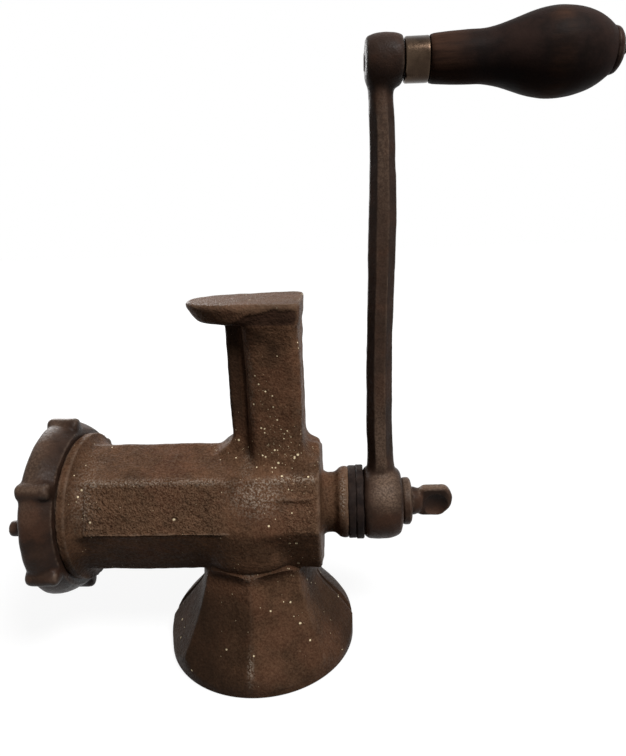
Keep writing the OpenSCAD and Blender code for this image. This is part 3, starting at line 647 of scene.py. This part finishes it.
def make_ring():
    wall = [(-82.1, 0), (-82.1, 36.8)]
    wall += [(blend(-82.1, -92.1, t), blend(36.8, 41, math.sin(math.pi / 2 * t)))
             for t in (i / 10 for i in range(1, 11))]
    wall += [(-93.1 - 3 * math.sin(a), 38 + 3 * math.cos(a)) for a in (i * math.pi / 12 for i in range(1, 7))]
    blank = turn("blank", wall + [(-96.1, 0)], AXIS, 144)
    lug = turn("lug", eased([(-97.2, 0), (-97.2, 2.9), (-95.8, 3.9), (-84, 3.9), (-82.3, 3.3), (-82.3, 0)], 1.2),
               AXIS + 39.3, 40)
    lugs = [turned_copy(lug, "lug_%d" % i, -5 + 360 / LUGS * i) for i in range(LUGS)]
    scrap(lug)
    peg = turn("peg", eased([(-95, 0), (-95, 3.5), (-102.4, 3.4), (-102.4, 0)], 0.9), AXIS + 31.8, 40)
    peg_turned = turned_copy(peg, "peg_turned", 81)
    scrap(peg)
    ring = weld("lugged_ring", blank, peg_turned, *lugs)
    fuse(ring, 0.00068)
    weigh(ring, "feet", lambda x, y, z: 0.3 + 0.7 * (
        fade(44.5, 42, math.hypot(y, z - AXIS)) * fade(37, 39.5, math.hypot(y, z - AXIS))))
    soften(ring, 22, "feet")
    roughen(ring, lumps("ring_waves", 14), 0.5)
    roughen(ring, lumps("ring_sand", 3.5), 0.16)
    cut(ring, block("behind_ring", (-82.2, -60, 10), (-70, 60, 140)))
    opening = eased([(-99, 0), (-99, 30.4), (-97.2, 30.2), (-94.9, 27.1), (-80, 27), (-80, 0)], 0.8)
    cut(ring, turn("opening", opening, AXIS, 144))
    cut(ring, round_bar("bore", -93.45, -80, 33.08, AXIS, 160))
    smooth(ring, 38)
    return ring


# ---------------------------------------------------------------- crank, washers and thumb screw

def arm_middle(t):
    """Bow of the arm along its length, from hub to eye."""
    return 59.25 + 1.9 * fade(0.3, 0.75, t) + 0.55 * fade(0.2, 0.08, t) - 0.75 * fade(0.84, 0.97, t)


def arm_width(t):
    """Width of the arm, swollen a little past its middle and towards the hub."""
    return blend(12, 9.8, t) + 0.95 * mound(t, 0.66, 0.13) + 1.6 * fade(0.13, 0.08, t)


def make_crank():
    hub = turn("hub", eased([(51.4, 0), (51.4, 15.4), (53.4, 17.1), (58, 17.5), (64.5, 17.1), (68.3, 15.3),
                             (69.4, 13.0), (69.4, 0)], 2.0), AXIS)
    eye = turn("eye", eased([(54.3, 0), (54.3, 7.0), (55.2, 9.0), (58.5, 9.9), (62.5, 10.1), (66.5, 9.7), (68.9, 8.9),
                             (69.3, 7.2), (69.3, 0)], 1.2), HANDLE, 72)
    outline = [(-0.42, -1), (0.42, -1), (1, -0.35), (1, 0.35), (0.42, 1), (-0.42, 1), (-1, 0.35), (-1, -0.35)]
    sections = []
    for i in range(33):
        t = blend(14.4 / THROW, 1 - 7.7 / THROW, i / 32)
        sections.append((AXIS + THROW * t, arm_width(t) / 2, blend(13, 9.5, t) / 2, arm_middle(t)))
    arm = raise_outline("arm", outline, (0, 0), sections)
    crank = weld("cranked_arm", hub, arm, eye)
    fuse(crank, 0.00055)
    weigh(crank, "feet", lambda x, y, z: max(
        fade(80, 86, z) * fade(100, 92, z), fade(240, 248, z) * fade(257, 252, z)))
    soften(crank, 70, "feet")
    soften(crank, 1)
    roughen(crank, lumps("arm_waves", 13), 0.55)
    roughen(crank, lumps("arm_sand", 3), 0.12)
    cut(crank, block("before_hub", (40, -40, 40), (51.48, 40, 300)))
    cut(crank, block("behind_hub", (69.34, -40, 40), (80, 40, 300)))
    cut(crank, block("square_hole", (45, -6.55, AXIS - 6.55), (75, 6.55, AXIS + 6.55)))
    cut(crank, round_bar("eye_bore", 57, 80, 4.05, HANDLE, 48))
    smooth(crank, 38)
    return crank


def crank_rub_and_highlight(p, n):
    """Pale, handled places with a painted highlight: the arm's near flat towards both ends and the hub's upper near
    side, turned to the lamp.
    """
    flat = fade(0.80, 0.97, -n.y) * fade(88, 94, p.z) * fade(256, 248, p.z)
    along = 0.18 + 1.0 * mound(p.z, 98, 24) + 0.50 * mound(p.z, 228, 20)
    lit = n.dot(Vector((0.25, -0.62, 0.74)))
    hub = fade(92, 86, p.z) * fade(0.66, 0.98, lit) * mound(p.x, 61.5, 6.5)
    return min(1.0, flat * along * 0.48 + 0.80 * hub)


def make_seal(name, x, width, radius):
    """Black washer with a worn, uneven rim."""
    profile = [(x, 10.1), (x, radius - 0.3), (x + 0.4, radius), (x + width - 0.4, radius),
               (x + width, radius - 0.35), (x + width, 10.1)]
    seal = turn(name, eased(profile, 0.3, 3), AXIS, 128, ring=True)
    weigh(seal, "rim", lambda x, y, z: fade(13, 16, math.hypot(y, z - AXIS)))
    roughen(seal, lumps(name + "_wear", 7), 0.8, "rim")
    roughen(seal, lumps(name + "_nicks", 2.2), 0.3, "rim")
    smooth(seal, 50)
    return seal


def make_screw_washer():
    profile = eased([(69.5, 4.1), (69.5, 10.2), (70.4, 11.0), (72.9, 11.0), (73.85, 9.6), (73.85, 4.1)], 0.7, 4)
    washer = turn("screw_washer", profile, AXIS, 96, ring=True)
    roughen(washer, lumps("screw_washer_wear", 6), 0.25)
    smooth(washer, 45)
    return washer


def make_thumb_screw():
    """Shank, tapered neck and a flat thumb piece with a dished hollow on each side."""
    neck = turn("neck", eased([(51.5, 0), (51.5, 3.0), (52.3, 3.45), (73.9, 3.45), (73.9, 6.5), (74.8, 6.6),
                               (77.2, 5.9), (79.2, 4.6), (79.2, 0)], 0.5, 3), AXIS, 64)
    corners = [(76.6, -6.6), (76.6, 5.2), (79.6, 7.5), (90.6, 7.6), (93.4, 3.0), (92.6, -2.4), (88.0, -7.0)]
    outline = [tuple(p) for p in eased(corners + corners[:2], 2.2)[1:-1]]
    wing = raise_outline("wing", outline, (85, 0), [(z, s, s, 0) for z, s in (
        (-2.9, 0.86), (-2.3, 0.95), (-1.4, 1.0), (1.4, 1.0), (2.3, 0.95), (2.9, 0.86))])
    wing.matrix_world = Matrix.Translation(mm(0, 0, AXIS)) @ Matrix.Rotation(math.pi / 2, 4, "X")
    wing = settle("wing")
    for side in (-1, 1):
        clear()
        bpy.ops.mesh.primitive_uv_sphere_add(segments=64, ring_count=32, radius=0.0090,
                                             location=mm(85.4, side * (2.9 + 7.0), AXIS - 1.0))
        cut(wing, settle("dish"))
    screw = weld("thumb_screw_wing", neck, wing)
    fuse(screw, 0.00034)
    weigh(screw, "neck_foot", lambda x, y, z: fade(75.5, 76.8, x) * fade(80.5, 78.5, x))
    soften(screw, 26, "neck_foot")
    soften(screw, 2)
    weigh(screw, "outside", lambda x, y, z: fade(74, 76, x))
    roughen(screw, lumps("wing_waves", 5), 0.34, "outside")
    smooth(screw, 40)
    return screw


# ---------------------------------------------------------------- handle

def grip_radius(t):
    """Radius along the grip: straight neck, swelling, rounded end."""
    if t < 0.26:
        return 8.6 + 1.0 * math.sin(math.pi / 2 * t / 0.26) ** 0.8
    if t < 0.69:
        return blend(9.6, 16, (1 - math.cos(math.pi * (t - 0.26) / 0.43)) / 2)
    return 16 * math.sqrt(1 - ((t - 0.69) / 0.355) ** 2)


def make_grip():
    length = 69.5
    profile = [(70.6, 4.1), (70.6, 7.2), (79.2, 7.2), (79.2, 8.0), (79.6, 8.5)]
    profile += [(79.2 + length * t, grip_radius(t)) for t in (i / 44 for i in range(1, 44))]
    profile += [(147.7, grip_radius(0.985)), (147.7, 4.1)]
    grip = turn("wooden_grip", profile, HANDLE, 112, ring=True)
    weigh(grip, "outside", lambda x, y, z: fade(80, 84, x) * fade(148, 144, x))
    roughen(grip, lumps("lathe_waves", 12), 0.35, "outside")
    smooth(grip, 45)
    return grip


def make_ferrule():
    profile = eased([(69.45, 4.2), (69.45, 7.7), (70.1, 8.25), (77.6, 8.3), (78.7, 8.3), (79.05, 7.9), (79.05, 7.3),
                     (70.5, 7.3), (70.5, 4.2)], 0.35, 4)
    ferrule = turn("brass_ferrule", profile, HANDLE, 96, ring=True)
    roughen(ferrule, lumps("ferrule_dents", 7), 0.22)
    smooth(ferrule, 45)
    return ferrule


def make_button():
    """Stepped, domed washer under the riveted tip."""
    profile = eased([(147.85, 4.1), (147.85, 8.2), (148.6, 8.6), (150.0, 8.2), (151.2, 6.7), (152.0, 4.6),
                     (152.4, 2.9), (152.4, 2.0), (148.9, 2.0), (148.7, 4.1)], 0.6, 4)
    button = turn("end_button", profile, HANDLE, 72, ring=True)
    roughen(button, lumps("button_dents", 3), 0.16)
    smooth(button, 45)
    return button


# ---------------------------------------------------------------- finishes

def add(tree, kind, options=None, **inputs):
    """Adds a node; an input is a value or another node's socket, and a name of one digit is its number."""
    item = tree.nodes.new(kind)
    for key, value in (options or {}).items():
        setattr(item, key, value)
    for key, value in inputs.items():
        key = key.lstrip("_")
        socket = item.inputs[int(key)] if key.isdigit() else item.inputs[key.replace("_", " ")]
        if isinstance(value, bpy.types.NodeSocket):
            tree.links.new(value, socket)
        else:
            socket.default_value = value
    return item


def sums(tree, how, a, b=0.0, clamp=False):
    return add(tree, "ShaderNodeMath", {"operation": how, "use_clamp": clamp}, _0=a, _1=b).outputs[0]


def times(tree, a, b, clamp=False):
    return sums(tree, "MULTIPLY", a, b, clamp)


def plus(tree, a, b):
    return sums(tree, "ADD", a, b)


def minus(tree, a, b):
    return sums(tree, "SUBTRACT", a, b)


def step(tree, value, low, high, bottom=0.0, top=1.0):
    """Smooth rise of a value between two levels."""
    return add(tree, "ShaderNodeMapRange", {"interpolation_type": "SMOOTHSTEP"}, Value=value, From_Min=low,
               From_Max=high, To_Min=bottom, To_Max=top).outputs[0]


def rgb(r, g, b):
    return (r, g, b, 1.0)


def over(tree, share, under, top):
    """Lays one colour over another by a share."""
    return add(tree, "ShaderNodeMix", {"data_type": "RGBA"}, _0=share, _6=under, _7=top).outputs[2]


def two_tone(tree, share, dark, light):
    return over(tree, share, rgb(*dark), rgb(*light))


def coats(tree, colour, *layers):
    """Lays colours over a ground in turn, each by its share and its strength."""
    for share, strength, top in layers:
        colour = over(tree, times(tree, share, strength), colour, rgb(*top))
    return colour


def group(name, inputs, outputs):
    """Empty node group with named inputs and outputs."""
    tree = bpy.data.node_groups.new(name, "ShaderNodeTree")
    for label, value in inputs.items():
        tree.interface.new_socket(label, in_out="INPUT", socket_type="NodeSocketFloat").default_value = value
    for label in outputs:
        tree.interface.new_socket(label, in_out="OUTPUT", socket_type="NodeSocketFloat")
    return tree, tree.nodes.new("NodeGroupInput").outputs, tree.nodes.new("NodeGroupOutput").inputs


def place(tree):
    return tree.nodes.new("ShaderNodeTexCoord").outputs["Object"]


def cloud(tree, scale, detail=4.0, rough=0.6, where=None):
    return add(tree, "ShaderNodeTexNoise", Vector=where or place(tree), Scale=scale, Detail=detail,
               Roughness=rough).outputs[0]


def group_cast_skin():
    """Tone, grit and height of a sand-cast surface."""
    tree, given, out = group("cast_skin", {"Blotch": 70.0, "Grain": 900.0}, ("Tone", "Grit", "Height"))
    broad = cloud(tree, given["Blotch"], 5, 0.62)
    fine = cloud(tree, given["Grain"], 3, 0.7)
    cells = add(tree, "ShaderNodeTexVoronoi", Vector=place(tree), Scale=given["Grain"]).outputs["Distance"]
    tree.links.new(step(tree, broad, 0.34, 0.68), out["Tone"])
    tree.links.new(step(tree, fine, 0.33, 0.68), out["Grit"])
    tree.links.new(plus(tree, times(tree, fine, 0.7), times(tree, cells, 0.35)), out["Height"])
    return tree


def group_rust_bloom():
    """Soft reddish patches with a broken border."""
    tree, given, out = group("rust_bloom", {"Size": 45.0, "Spread": 0.5}, ("Rust",))
    border = times(tree, cloud(tree, 420.0, 3, 0.65), 0.22)
    patch = plus(tree, cloud(tree, given["Size"], 3, 0.55), border)
    level = minus(tree, 1.1, given["Spread"])
    tree.links.new(step(tree, patch, level, plus(tree, level, 0.16)), out["Rust"])
    return tree


def group_edge_wear():
    """Worn high edges and dirt kept in the hollows."""
    tree, given, out = group("edge_wear", {"Reach": 0.03}, ("Wear", "Dirt"))
    sharp = minus(tree, tree.nodes.new("ShaderNodeNewGeometry").outputs["Pointiness"], 0.5)
    broken = step(tree, cloud(tree, 260.0, 3, 0.6), 0.36, 0.62, 0.25, 1.0)
    tree.links.new(times(tree, step(tree, sharp, 0.006, given["Reach"]), broken), out["Wear"])
    tree.links.new(step(tree, times(tree, sharp, -1.0), 0.004, given["Reach"]), out["Dirt"])
    return tree


def group_bright_specks():
    """Scattered bare grains that catch the light."""
    tree, given, out = group("bright_specks", {"Size": 800.0, "Amount": 0.1}, ("Specks",))
    cells = add(tree, "ShaderNodeTexVoronoi", Vector=place(tree), Scale=given["Size"], Randomness=1.0)
    chance = add(tree, "ShaderNodeSeparateColor", Color=cells.outputs["Color"])
    chosen = sums(tree, "GREATER_THAN", chance.outputs[0], minus(tree, 1.0, given["Amount"]))
    near = sums(tree, "LESS_THAN", cells.outputs["Distance"], times(tree, chance.outputs[1], 0.42))
    tree.links.new(times(tree, chosen, near), out["Specks"])
    return tree


SKIN, RUST, WEAR, SPECKS = group_cast_skin(), group_rust_bloom(), group_edge_wear(), group_bright_specks()


def use(tree, shared, **values):
    return add(tree, "ShaderNodeGroup", {"node_tree": shared}, **values).outputs


def finish(name, colour, roughness=0.5, specular=0.2, metal=0.0):
    """New material; returns it with its tree and its shader."""
    material = bpy.data.materials.new(name)
    material.use_nodes = True
    tree = material.node_tree
    shader = tree.nodes["Principled BSDF"]
    shader.inputs["Base Color"].default_value = rgb(*colour)
    shader.inputs["Roughness"].default_value = roughness
    shader.inputs["Specular IOR Level"].default_value = specular
    shader.inputs["Metallic"].default_value = metal
    material.diffuse_color = rgb(*colour)
    return material, tree, shader


def feed(tree, shader, colour, roughness):
    tree.links.new(colour, shader.inputs["Base Color"])
    tree.links.new(roughness, shader.inputs["Roughness"])


def bump(tree, shader, height, strength, distance):
    item = add(tree, "ShaderNodeBump", Height=height, Strength=strength, Distance=distance * 0.001)
    tree.links.new(item.outputs[0], shader.inputs["Normal"])


def mark(tree, name):
    return add(tree, "ShaderNodeAttribute", {"attribute_name": name}).outputs["Fac"]


def casting_iron():
    """Brown sand casting, with rust, painted shade, painted highlights on rubbed ridges and painted glints on bare
    grains where they were painted.
    """
    material, tree, shader = finish("rusty_cast_iron", (0.10, 0.05, 0.03), 0.55, 0.024)
    skin = use(tree, SKIN, Blotch=75.0, Grain=1050.0)
    wear = use(tree, WEAR, Reach=0.045)
    rust = use(tree, RUST, Size=42.0, Spread=0.52)
    grit, painted_highlight, painted_glint, chip, streaks_and_lit_edge, painted_shade = (
        mark(tree, n) for n in ("grit", "painted_highlight", "painted_glint", "chip", "streaks_and_lit_edge", "painted_shade"))
    smut = step(tree, cloud(tree, 110.0, 4, 0.65), 0.46, 0.66)
    pits = minus(tree, 1.0, skin["Grit"])
    dust = times(tree, skin["Grit"], plus(tree, 0.26, times(tree, grit, 0.24)))
    grains = step(tree, cloud(tree, 1150.0, 2, 0.7), 0.44, 0.66)
    drawn = add(tree, "ShaderNodeMapping", Vector=place(tree), Scale=(28.0, 420.0, 60.0)).outputs[0]
    lines = step(tree, cloud(tree, 1.0, 4, 0.6, drawn), 0.38, 0.68)
    coarse = use(tree, SPECKS, Size=700.0, Amount=times(tree, painted_glint, 0.32))["Specks"]
    fine = use(tree, SPECKS, Size=1700.0, Amount=times(tree, painted_glint, 0.22))["Specks"]
    specks = sums(tree, "MAXIMUM", coarse, times(tree, fine, 0.6))
    colour = coats(
        tree, two_tone(tree, skin["Tone"], (0.070, 0.0335, 0.0180), (0.165, 0.0805, 0.0440)),
        (rust["Rust"], 0.45, (0.155, 0.062, 0.034)),
        (smut, 0.40, (0.046, 0.0235, 0.0125)),
        (pits, 0.38, (0.038, 0.019, 0.011)),
        (dust, 1.0, (0.27, 0.163, 0.098)),
        (wear["Dirt"], 0.75, (0.028, 0.015, 0.010)),
        (wear["Wear"], 0.40, (0.30, 0.205, 0.145)),
        # painted shade
        (painted_shade, 0.78, (0.024, 0.014, 0.009)),
        # wiped streaks, and painted light on the jaw's shaded near edge
        (streaks_and_lit_edge, 0.45, (0.190, 0.100, 0.062)),
        (chip, 0.82, (0.048, 0.0255, 0.0175)),
        # painted highlight, laid as pale grains
        (times(tree, painted_highlight, grains), 0.85, (0.48, 0.385, 0.30)),
        (times(tree, streaks_and_lit_edge, lines), 0.33, (0.20, 0.132, 0.080)),
        # painted glints on bare grains
        (specks, 1.0, (0.95, 0.78, 0.50)))
    rough = step(tree, skin["Grit"], 0.0, 1.0, 0.54, 0.38)
    rough = minus(tree, rough, times(tree, wear["Wear"], 0.12))
    feed(tree, shader, colour, minus(tree, rough, times(tree, specks, 0.25)))
    grain = times(tree, skin["Height"], plus(tree, 0.6, times(tree, grit, 1.2)))
    lumpy = times(tree, cloud(tree, 430.0, 2, 0.5), plus(tree, 0.65, grit))
    bump(tree, shader, plus(tree, grain, lumpy), 1.0, 0.62)
    return material


def smooth_iron(name, dark, light, rust_share, wear_share, grain, bump_height, rough=0.5, specular=0.07):
    """Smoother cast iron of the ring, the crank and the small parts, paler where it is rubbed and where a highlight
    is painted, darker where shade and grime are painted.
    """
    material, tree, shader = finish(name, dark, rough, specular)
    skin = use(tree, SKIN, Blotch=90.0, Grain=grain)
    wear = use(tree, WEAR, Reach=0.04)
    rust = use(tree, RUST, Size=55.0, Spread=0.54)
    rubbed_and_lit = times(tree, mark(tree, "rub_and_highlight"), step(tree, skin["Grit"], 0.0, 1.0, 0.45, 1.0))
    colour = coats(
        tree, two_tone(tree, skin["Tone"], dark, light),
        (rust["Rust"], rust_share, (0.105, 0.045, 0.025)),
        # painted highlight, partly rubbed
        (rubbed_and_lit, 1.0, (0.26, 0.172, 0.120)),
        # painted shade, with some grime
        (mark(tree, "shade_and_grime"), 0.85, (0.015, 0.009, 0.007)),
        (minus(tree, 1.0, skin["Grit"]), 0.25, (0.022, 0.013, 0.009)),
        (wear["Dirt"], 0.8, (0.018, 0.011, 0.008)),
        (wear["Wear"], wear_share, (0.25, 0.175, 0.130)))
    spread = step(tree, skin["Grit"], 0.0, 1.0, rough + 0.08, rough - 0.06)
    feed(tree, shader, colour, minus(tree, spread, times(tree, wear["Wear"], 0.12)))
    bump(tree, shader, skin["Height"], 0.5, bump_height)
    return material


def black_washer():
    material, tree, shader = finish("old_black_washer", (0.03, 0.022, 0.019), 0.55, 0.04)
    skin = use(tree, SKIN, Blotch=160.0, Grain=1400.0)
    wear = use(tree, WEAR, Reach=0.05)
    colour = coats(tree, two_tone(tree, skin["Tone"], (0.015, 0.0105, 0.0095), (0.034, 0.022, 0.018)),
                   (wear["Wear"], 0.4, (0.085, 0.060, 0.050)))
    feed(tree, shader, colour, step(tree, skin["Grit"], 0.0, 1.0, 0.62, 0.45))
    bump(tree, shader, skin["Height"], 0.4, 0.3)
    return material


def old_brass():
    material, tree, shader = finish("tarnished_brass", (0.050, 0.034, 0.023), 0.34, 0.1, 0.9)
    skin = use(tree, SKIN, Blotch=150.0, Grain=1500.0)
    wear = use(tree, WEAR, Reach=0.04)
    colour = coats(tree, two_tone(tree, skin["Tone"], (0.036, 0.023, 0.0155), (0.062, 0.041, 0.027)),
                   (wear["Dirt"], 0.7, (0.010, 0.007, 0.005)),
                   (wear["Wear"], 0.4, (0.16, 0.115, 0.075)))
    feed(tree, shader, colour, step(tree, skin["Grit"], 0.0, 1.0, 0.32, 0.20))
    bump(tree, shader, skin["Height"], 0.15, 0.10)
    return material


def dark_wood():
    """Old varnish, black from handling, with brown wood showing at the neck and round the middle."""
    material, tree, shader = finish("dark_turned_wood", (0.02, 0.013, 0.010), 0.52, 0.025)
    drawn = add(tree, "ShaderNodeMapping", Vector=place(tree), Scale=(26.0, 240.0, 240.0)).outputs[0]
    fibres = cloud(tree, 1.0, 5, 0.65, drawn)
    blotches = cloud(tree, 60.0, 4, 0.6)
    along = add(tree, "ShaderNodeSeparateXYZ", Vector=place(tree)).outputs[0]
    neck = step(tree, along, 0.100, 0.079)
    band = times(tree, step(tree, along, 0.119, 0.125), step(tree, along, 0.132, 0.127))
    bare = plus(tree, times(tree, neck, 0.85), times(tree, band, 0.70))
    bare = times(tree, bare, step(tree, blotches, 0.36, 0.62, 0.35, 1.0), True)
    varnish = two_tone(tree, step(tree, blotches, 0.35, 0.65), (0.0100, 0.0068, 0.0060), (0.0275, 0.0158, 0.0128))
    wood = two_tone(tree, step(tree, fibres, 0.38, 0.62), (0.022, 0.0112, 0.0072), (0.061, 0.0295, 0.0180))
    feed(tree, shader, over(tree, bare, varnish, wood), step(tree, blotches, 0.3, 0.7, 0.46, 0.62))
    bump(tree, shader, plus(tree, fibres, times(tree, cloud(tree, 700.0, 2, 0.6), 0.5)), 0.35, 0.35)
    return material


def plain_steel(name, dark, light):
    material, tree, shader = finish(name, dark, 0.38, 0.3, 0.8)
    skin = use(tree, SKIN, Blotch=120.0, Grain=1300.0)
    wear = use(tree, WEAR, Reach=0.05)
    colour = coats(tree, two_tone(tree, skin["Tone"], dark, light), (wear["Dirt"], 0.6, (0.03, 0.022, 0.018)))
    feed(tree, shader, colour, step(tree, skin["Grit"], 0.0, 1.0, 0.46, 0.30))
    bump(tree, shader, skin["Height"], 0.2, 0.15)
    return material


# ---------------------------------------------------------------- stage

def seen_itself(tree):
    """1 where the floor or the backdrop is looked at, also in a reflection, and 0 where it only gives light."""
    path = tree.nodes.new("ShaderNodeLightPath").outputs
    seen = sums(tree, "MAXIMUM", path["Is Camera Ray"], path["Is Glossy Ray"])
    return sums(tree, "MAXIMUM", seen, path["Is Transmission Ray"])


def make_floor():
    """Pale floor: white to the eye, with the soft shadow, and dim as a source of bounced light."""
    clear()
    bpy.ops.mesh.primitive_plane_add(size=6.0, location=(0, 0, 0))
    floor = settle("floor")
    material, tree, shader = finish("pale_floor", (0.9, 0.9, 0.9), 0.9, 0.0)
    seen = seen_itself(tree)
    tree.links.new(over(tree, seen, rgb(0.035, 0.033, 0.031), rgb(0.20, 0.20, 0.20)), shader.inputs["Base Color"])
    away = add(tree, "ShaderNodeVectorMath", {"operation": "LENGTH"}, _0=place(tree)).outputs["Value"]
    pale = step(tree, away, 0.12, 0.7, 0.87, 1.0)
    tree.links.new(times(tree, seen, pale), shader.inputs["Emission Color"])
    shader.inputs["Emission Strength"].default_value = 1.0
    floor.data.materials.append(material)


def make_light():
    """White backdrop that gives only dim light, a key lamp at the upper right and a lamp for the far side."""
    world = bpy.data.worlds.new("studio")
    bpy.context.scene.world = world
    world.use_nodes = True
    tree = world.node_tree
    back = tree.nodes["Background"]
    seen = seen_itself(tree)
    tree.links.new(over(tree, seen, rgb(0.055, 0.053, 0.050), rgb(1.0, 1.0, 1.0)), back.inputs["Color"])
    back.inputs["Strength"].default_value = 1.0
    for name, spot, aim, size, power in (
            ("key_lamp", (0.38, -0.46, 0.88), (0.0, 0.0, 0.09), 0.34, 8.5),
            ("back_lamp", (-0.50, 0.80, 0.50), (0.0, 0.0, 0.12), 0.50, 6.0)):
        lamp = bpy.data.lights.new(name, "AREA")
        lamp.shape = "DISK"
        lamp.size = size
        lamp.energy = power
        item = bpy.data.objects.new(name, lamp)
        bpy.context.scene.collection.objects.link(item)
        item.location = spot
        item.rotation_euler = (Vector(aim) - Vector(spot)).to_track_quat("-Z", "Y").to_euler()


def make_camera():
    """The photograph's own place: close, looking down a little and slightly rolled."""
    yaw, pitch, roll = 0.051794, 0.270651, -0.036002
    side = Vector((math.cos(yaw), math.sin(yaw), 0))
    ahead = Vector((-math.sin(yaw) * math.cos(pitch), math.cos(yaw) * math.cos(pitch), -math.sin(pitch)))
    over_head = side.cross(ahead)
    right = math.cos(roll) * side + math.sin(roll) * over_head
    top = -math.sin(roll) * side + math.cos(roll) * over_head
    lens = bpy.data.cameras.new("camera")
    lens.sensor_width = 36
    lens.lens = 28.571
    lens.clip_start = 0.01
    camera = bpy.data.objects.new("camera", lens)
    bpy.context.scene.collection.objects.link(camera)
    turned = Matrix((right, top, -ahead)).transposed().to_4x4()
    camera.matrix_world = Matrix.Translation(mm(43.158, -259.972, 205.489)) @ turned
    bpy.context.scene.camera = camera


def dress(piece, body, node, material, stands_for=True):
    """Gives a finished piece its material, its body and the CAD node that it shows."""
    piece.data.materials.clear()
    piece.data.materials.append(material)
    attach(piece, body)
    if stands_for:
        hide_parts(node)


def coat(node, material):
    """Gives a CAD mesh that stays in view its material."""
    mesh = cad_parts[node].data
    mesh.materials.clear()
    mesh.materials.append(material)


make_camera()
make_light()
make_floor()

casting = make_casting()
paint_casting(casting)
iron = casting_iron()
ring_iron = smooth_iron("ring_iron", (0.027, 0.0142, 0.0092), (0.068, 0.036, 0.0235),
                        0.40, 0.50, 1000.0, 0.40, 0.40, 0.09)
crank_iron = smooth_iron("crank_iron", (0.027, 0.0148, 0.0100), (0.055, 0.031, 0.0215),
                         0.35, 0.35, 1100.0, 0.32, 0.46)
small_iron = smooth_iron("small_iron", (0.032, 0.018, 0.012), (0.066, 0.039, 0.027),
                         0.30, 0.50, 1300.0, 0.25, 0.44)
seal_black = black_washer()
brass = old_brass()
wood = dark_wood()
button_iron = smooth_iron("button_iron", (0.012, 0.0068, 0.0058), (0.030, 0.0145, 0.0115),
                          0.20, 0.3, 1500.0, 0.2, 0.42, 0.04)
inner_iron = smooth_iron("worm_iron", (0.085, 0.075, 0.068), (0.20, 0.185, 0.170),
                         0.25, 0.8, 1100.0, 0.3, 0.42, 0.3)
steel = plain_steel("ground_steel", (0.23, 0.22, 0.21), (0.42, 0.41, 0.39))

dress(casting, "frame", "body_casting", iron)
dress(thread("collar_thread", 33.0, 0.95, 2.5, -90.3, 3, AXIS, 144), "frame", "body_casting", iron, False)
ring = make_ring()
# painted highlight on the ring's crest and front edge where they face up
paint(ring, "rub_and_highlight", lambda p, n: fade(0.1, 0.7, n.z) * max(
    0.55 * fade(41.6, 43.4, math.hypot(p.y, p.z - AXIS)), 0.35 * mound(p.x, -92, 4) * fade(0.4, 0.0, n.y)))
# painted shade on downward faces, and darker towards the flange
paint(ring, "shade_and_grime", lambda p, n: 0.6 * fade(0.1, -0.6, n.z) + 0.5 * fade(-88, -83, p.x))
dress(ring, "ring", "ring_nut", ring_iron)
dress(make_seal("inner_washer", 44.45, 3.52, 16.8), "drive", "seal_washer_inner", seal_black)
dress(make_seal("outer_washer", 48.0, 3.4, 17.2), "drive", "seal_washer_outer", seal_black)
crank = make_crank()
# painted highlight on the arm's near flat and the hub's upper near side
paint(crank, "rub_and_highlight", crank_rub_and_highlight)
# darker eye, and painted shade on the arm's side facets
paint(crank, "shade_and_grime", lambda p, n: 0.55 * fade(246, 252, p.z) + 0.5 * fade(0.2, 0.6, abs(n.x)) * fade(92, 98, p.z))
dress(crank, "drive", "crank_arm", crank_iron)
washer = make_screw_washer()
# painted highlight on the washer's upward faces
paint(washer, "rub_and_highlight", lambda p, n: 0.45 * fade(0.2, 0.7, n.z))
dress(washer, "thumb_seat", "thumb_washer", small_iron)
screw = make_thumb_screw()
# painted highlight on the wing's top
paint(screw, "rub_and_highlight", lambda p, n: 0.75 * fade(0.45, 0.9, n.z) * fade(76, 79, p.x))
# painted shade on the wing's front and lower faces
paint(screw, "shade_and_grime", lambda p, n: 0.9 * fade(0.5, 0.0, n.z) * fade(78, 80, p.x) * fade(92, 89, p.x))
dress(screw, "thumb", "thumb_screw", small_iron)
dress(thread("shank_thread", 4.0, 0.55, 1.25, 52.6, 17, AXIS, 40), "thumb", "thumb_screw", small_iron, False)
dress(make_ferrule(), "grip", "handle_ferrule", brass)
dress(make_grip(), "grip", "handle_grip", wood)
dress(make_button(), "drive", "handle_button", button_iron)
for node in ("plate_key", "worm_stud", "cutter_knife", "cutter_plate"):
    coat(node, steel)
coat("feed_worm", inner_iron)
coat("thrust_washer", brass)
coat("handle_bolt", button_iron)

bpy.context.scene.view_settings.view_transform = "Standard"
clear()
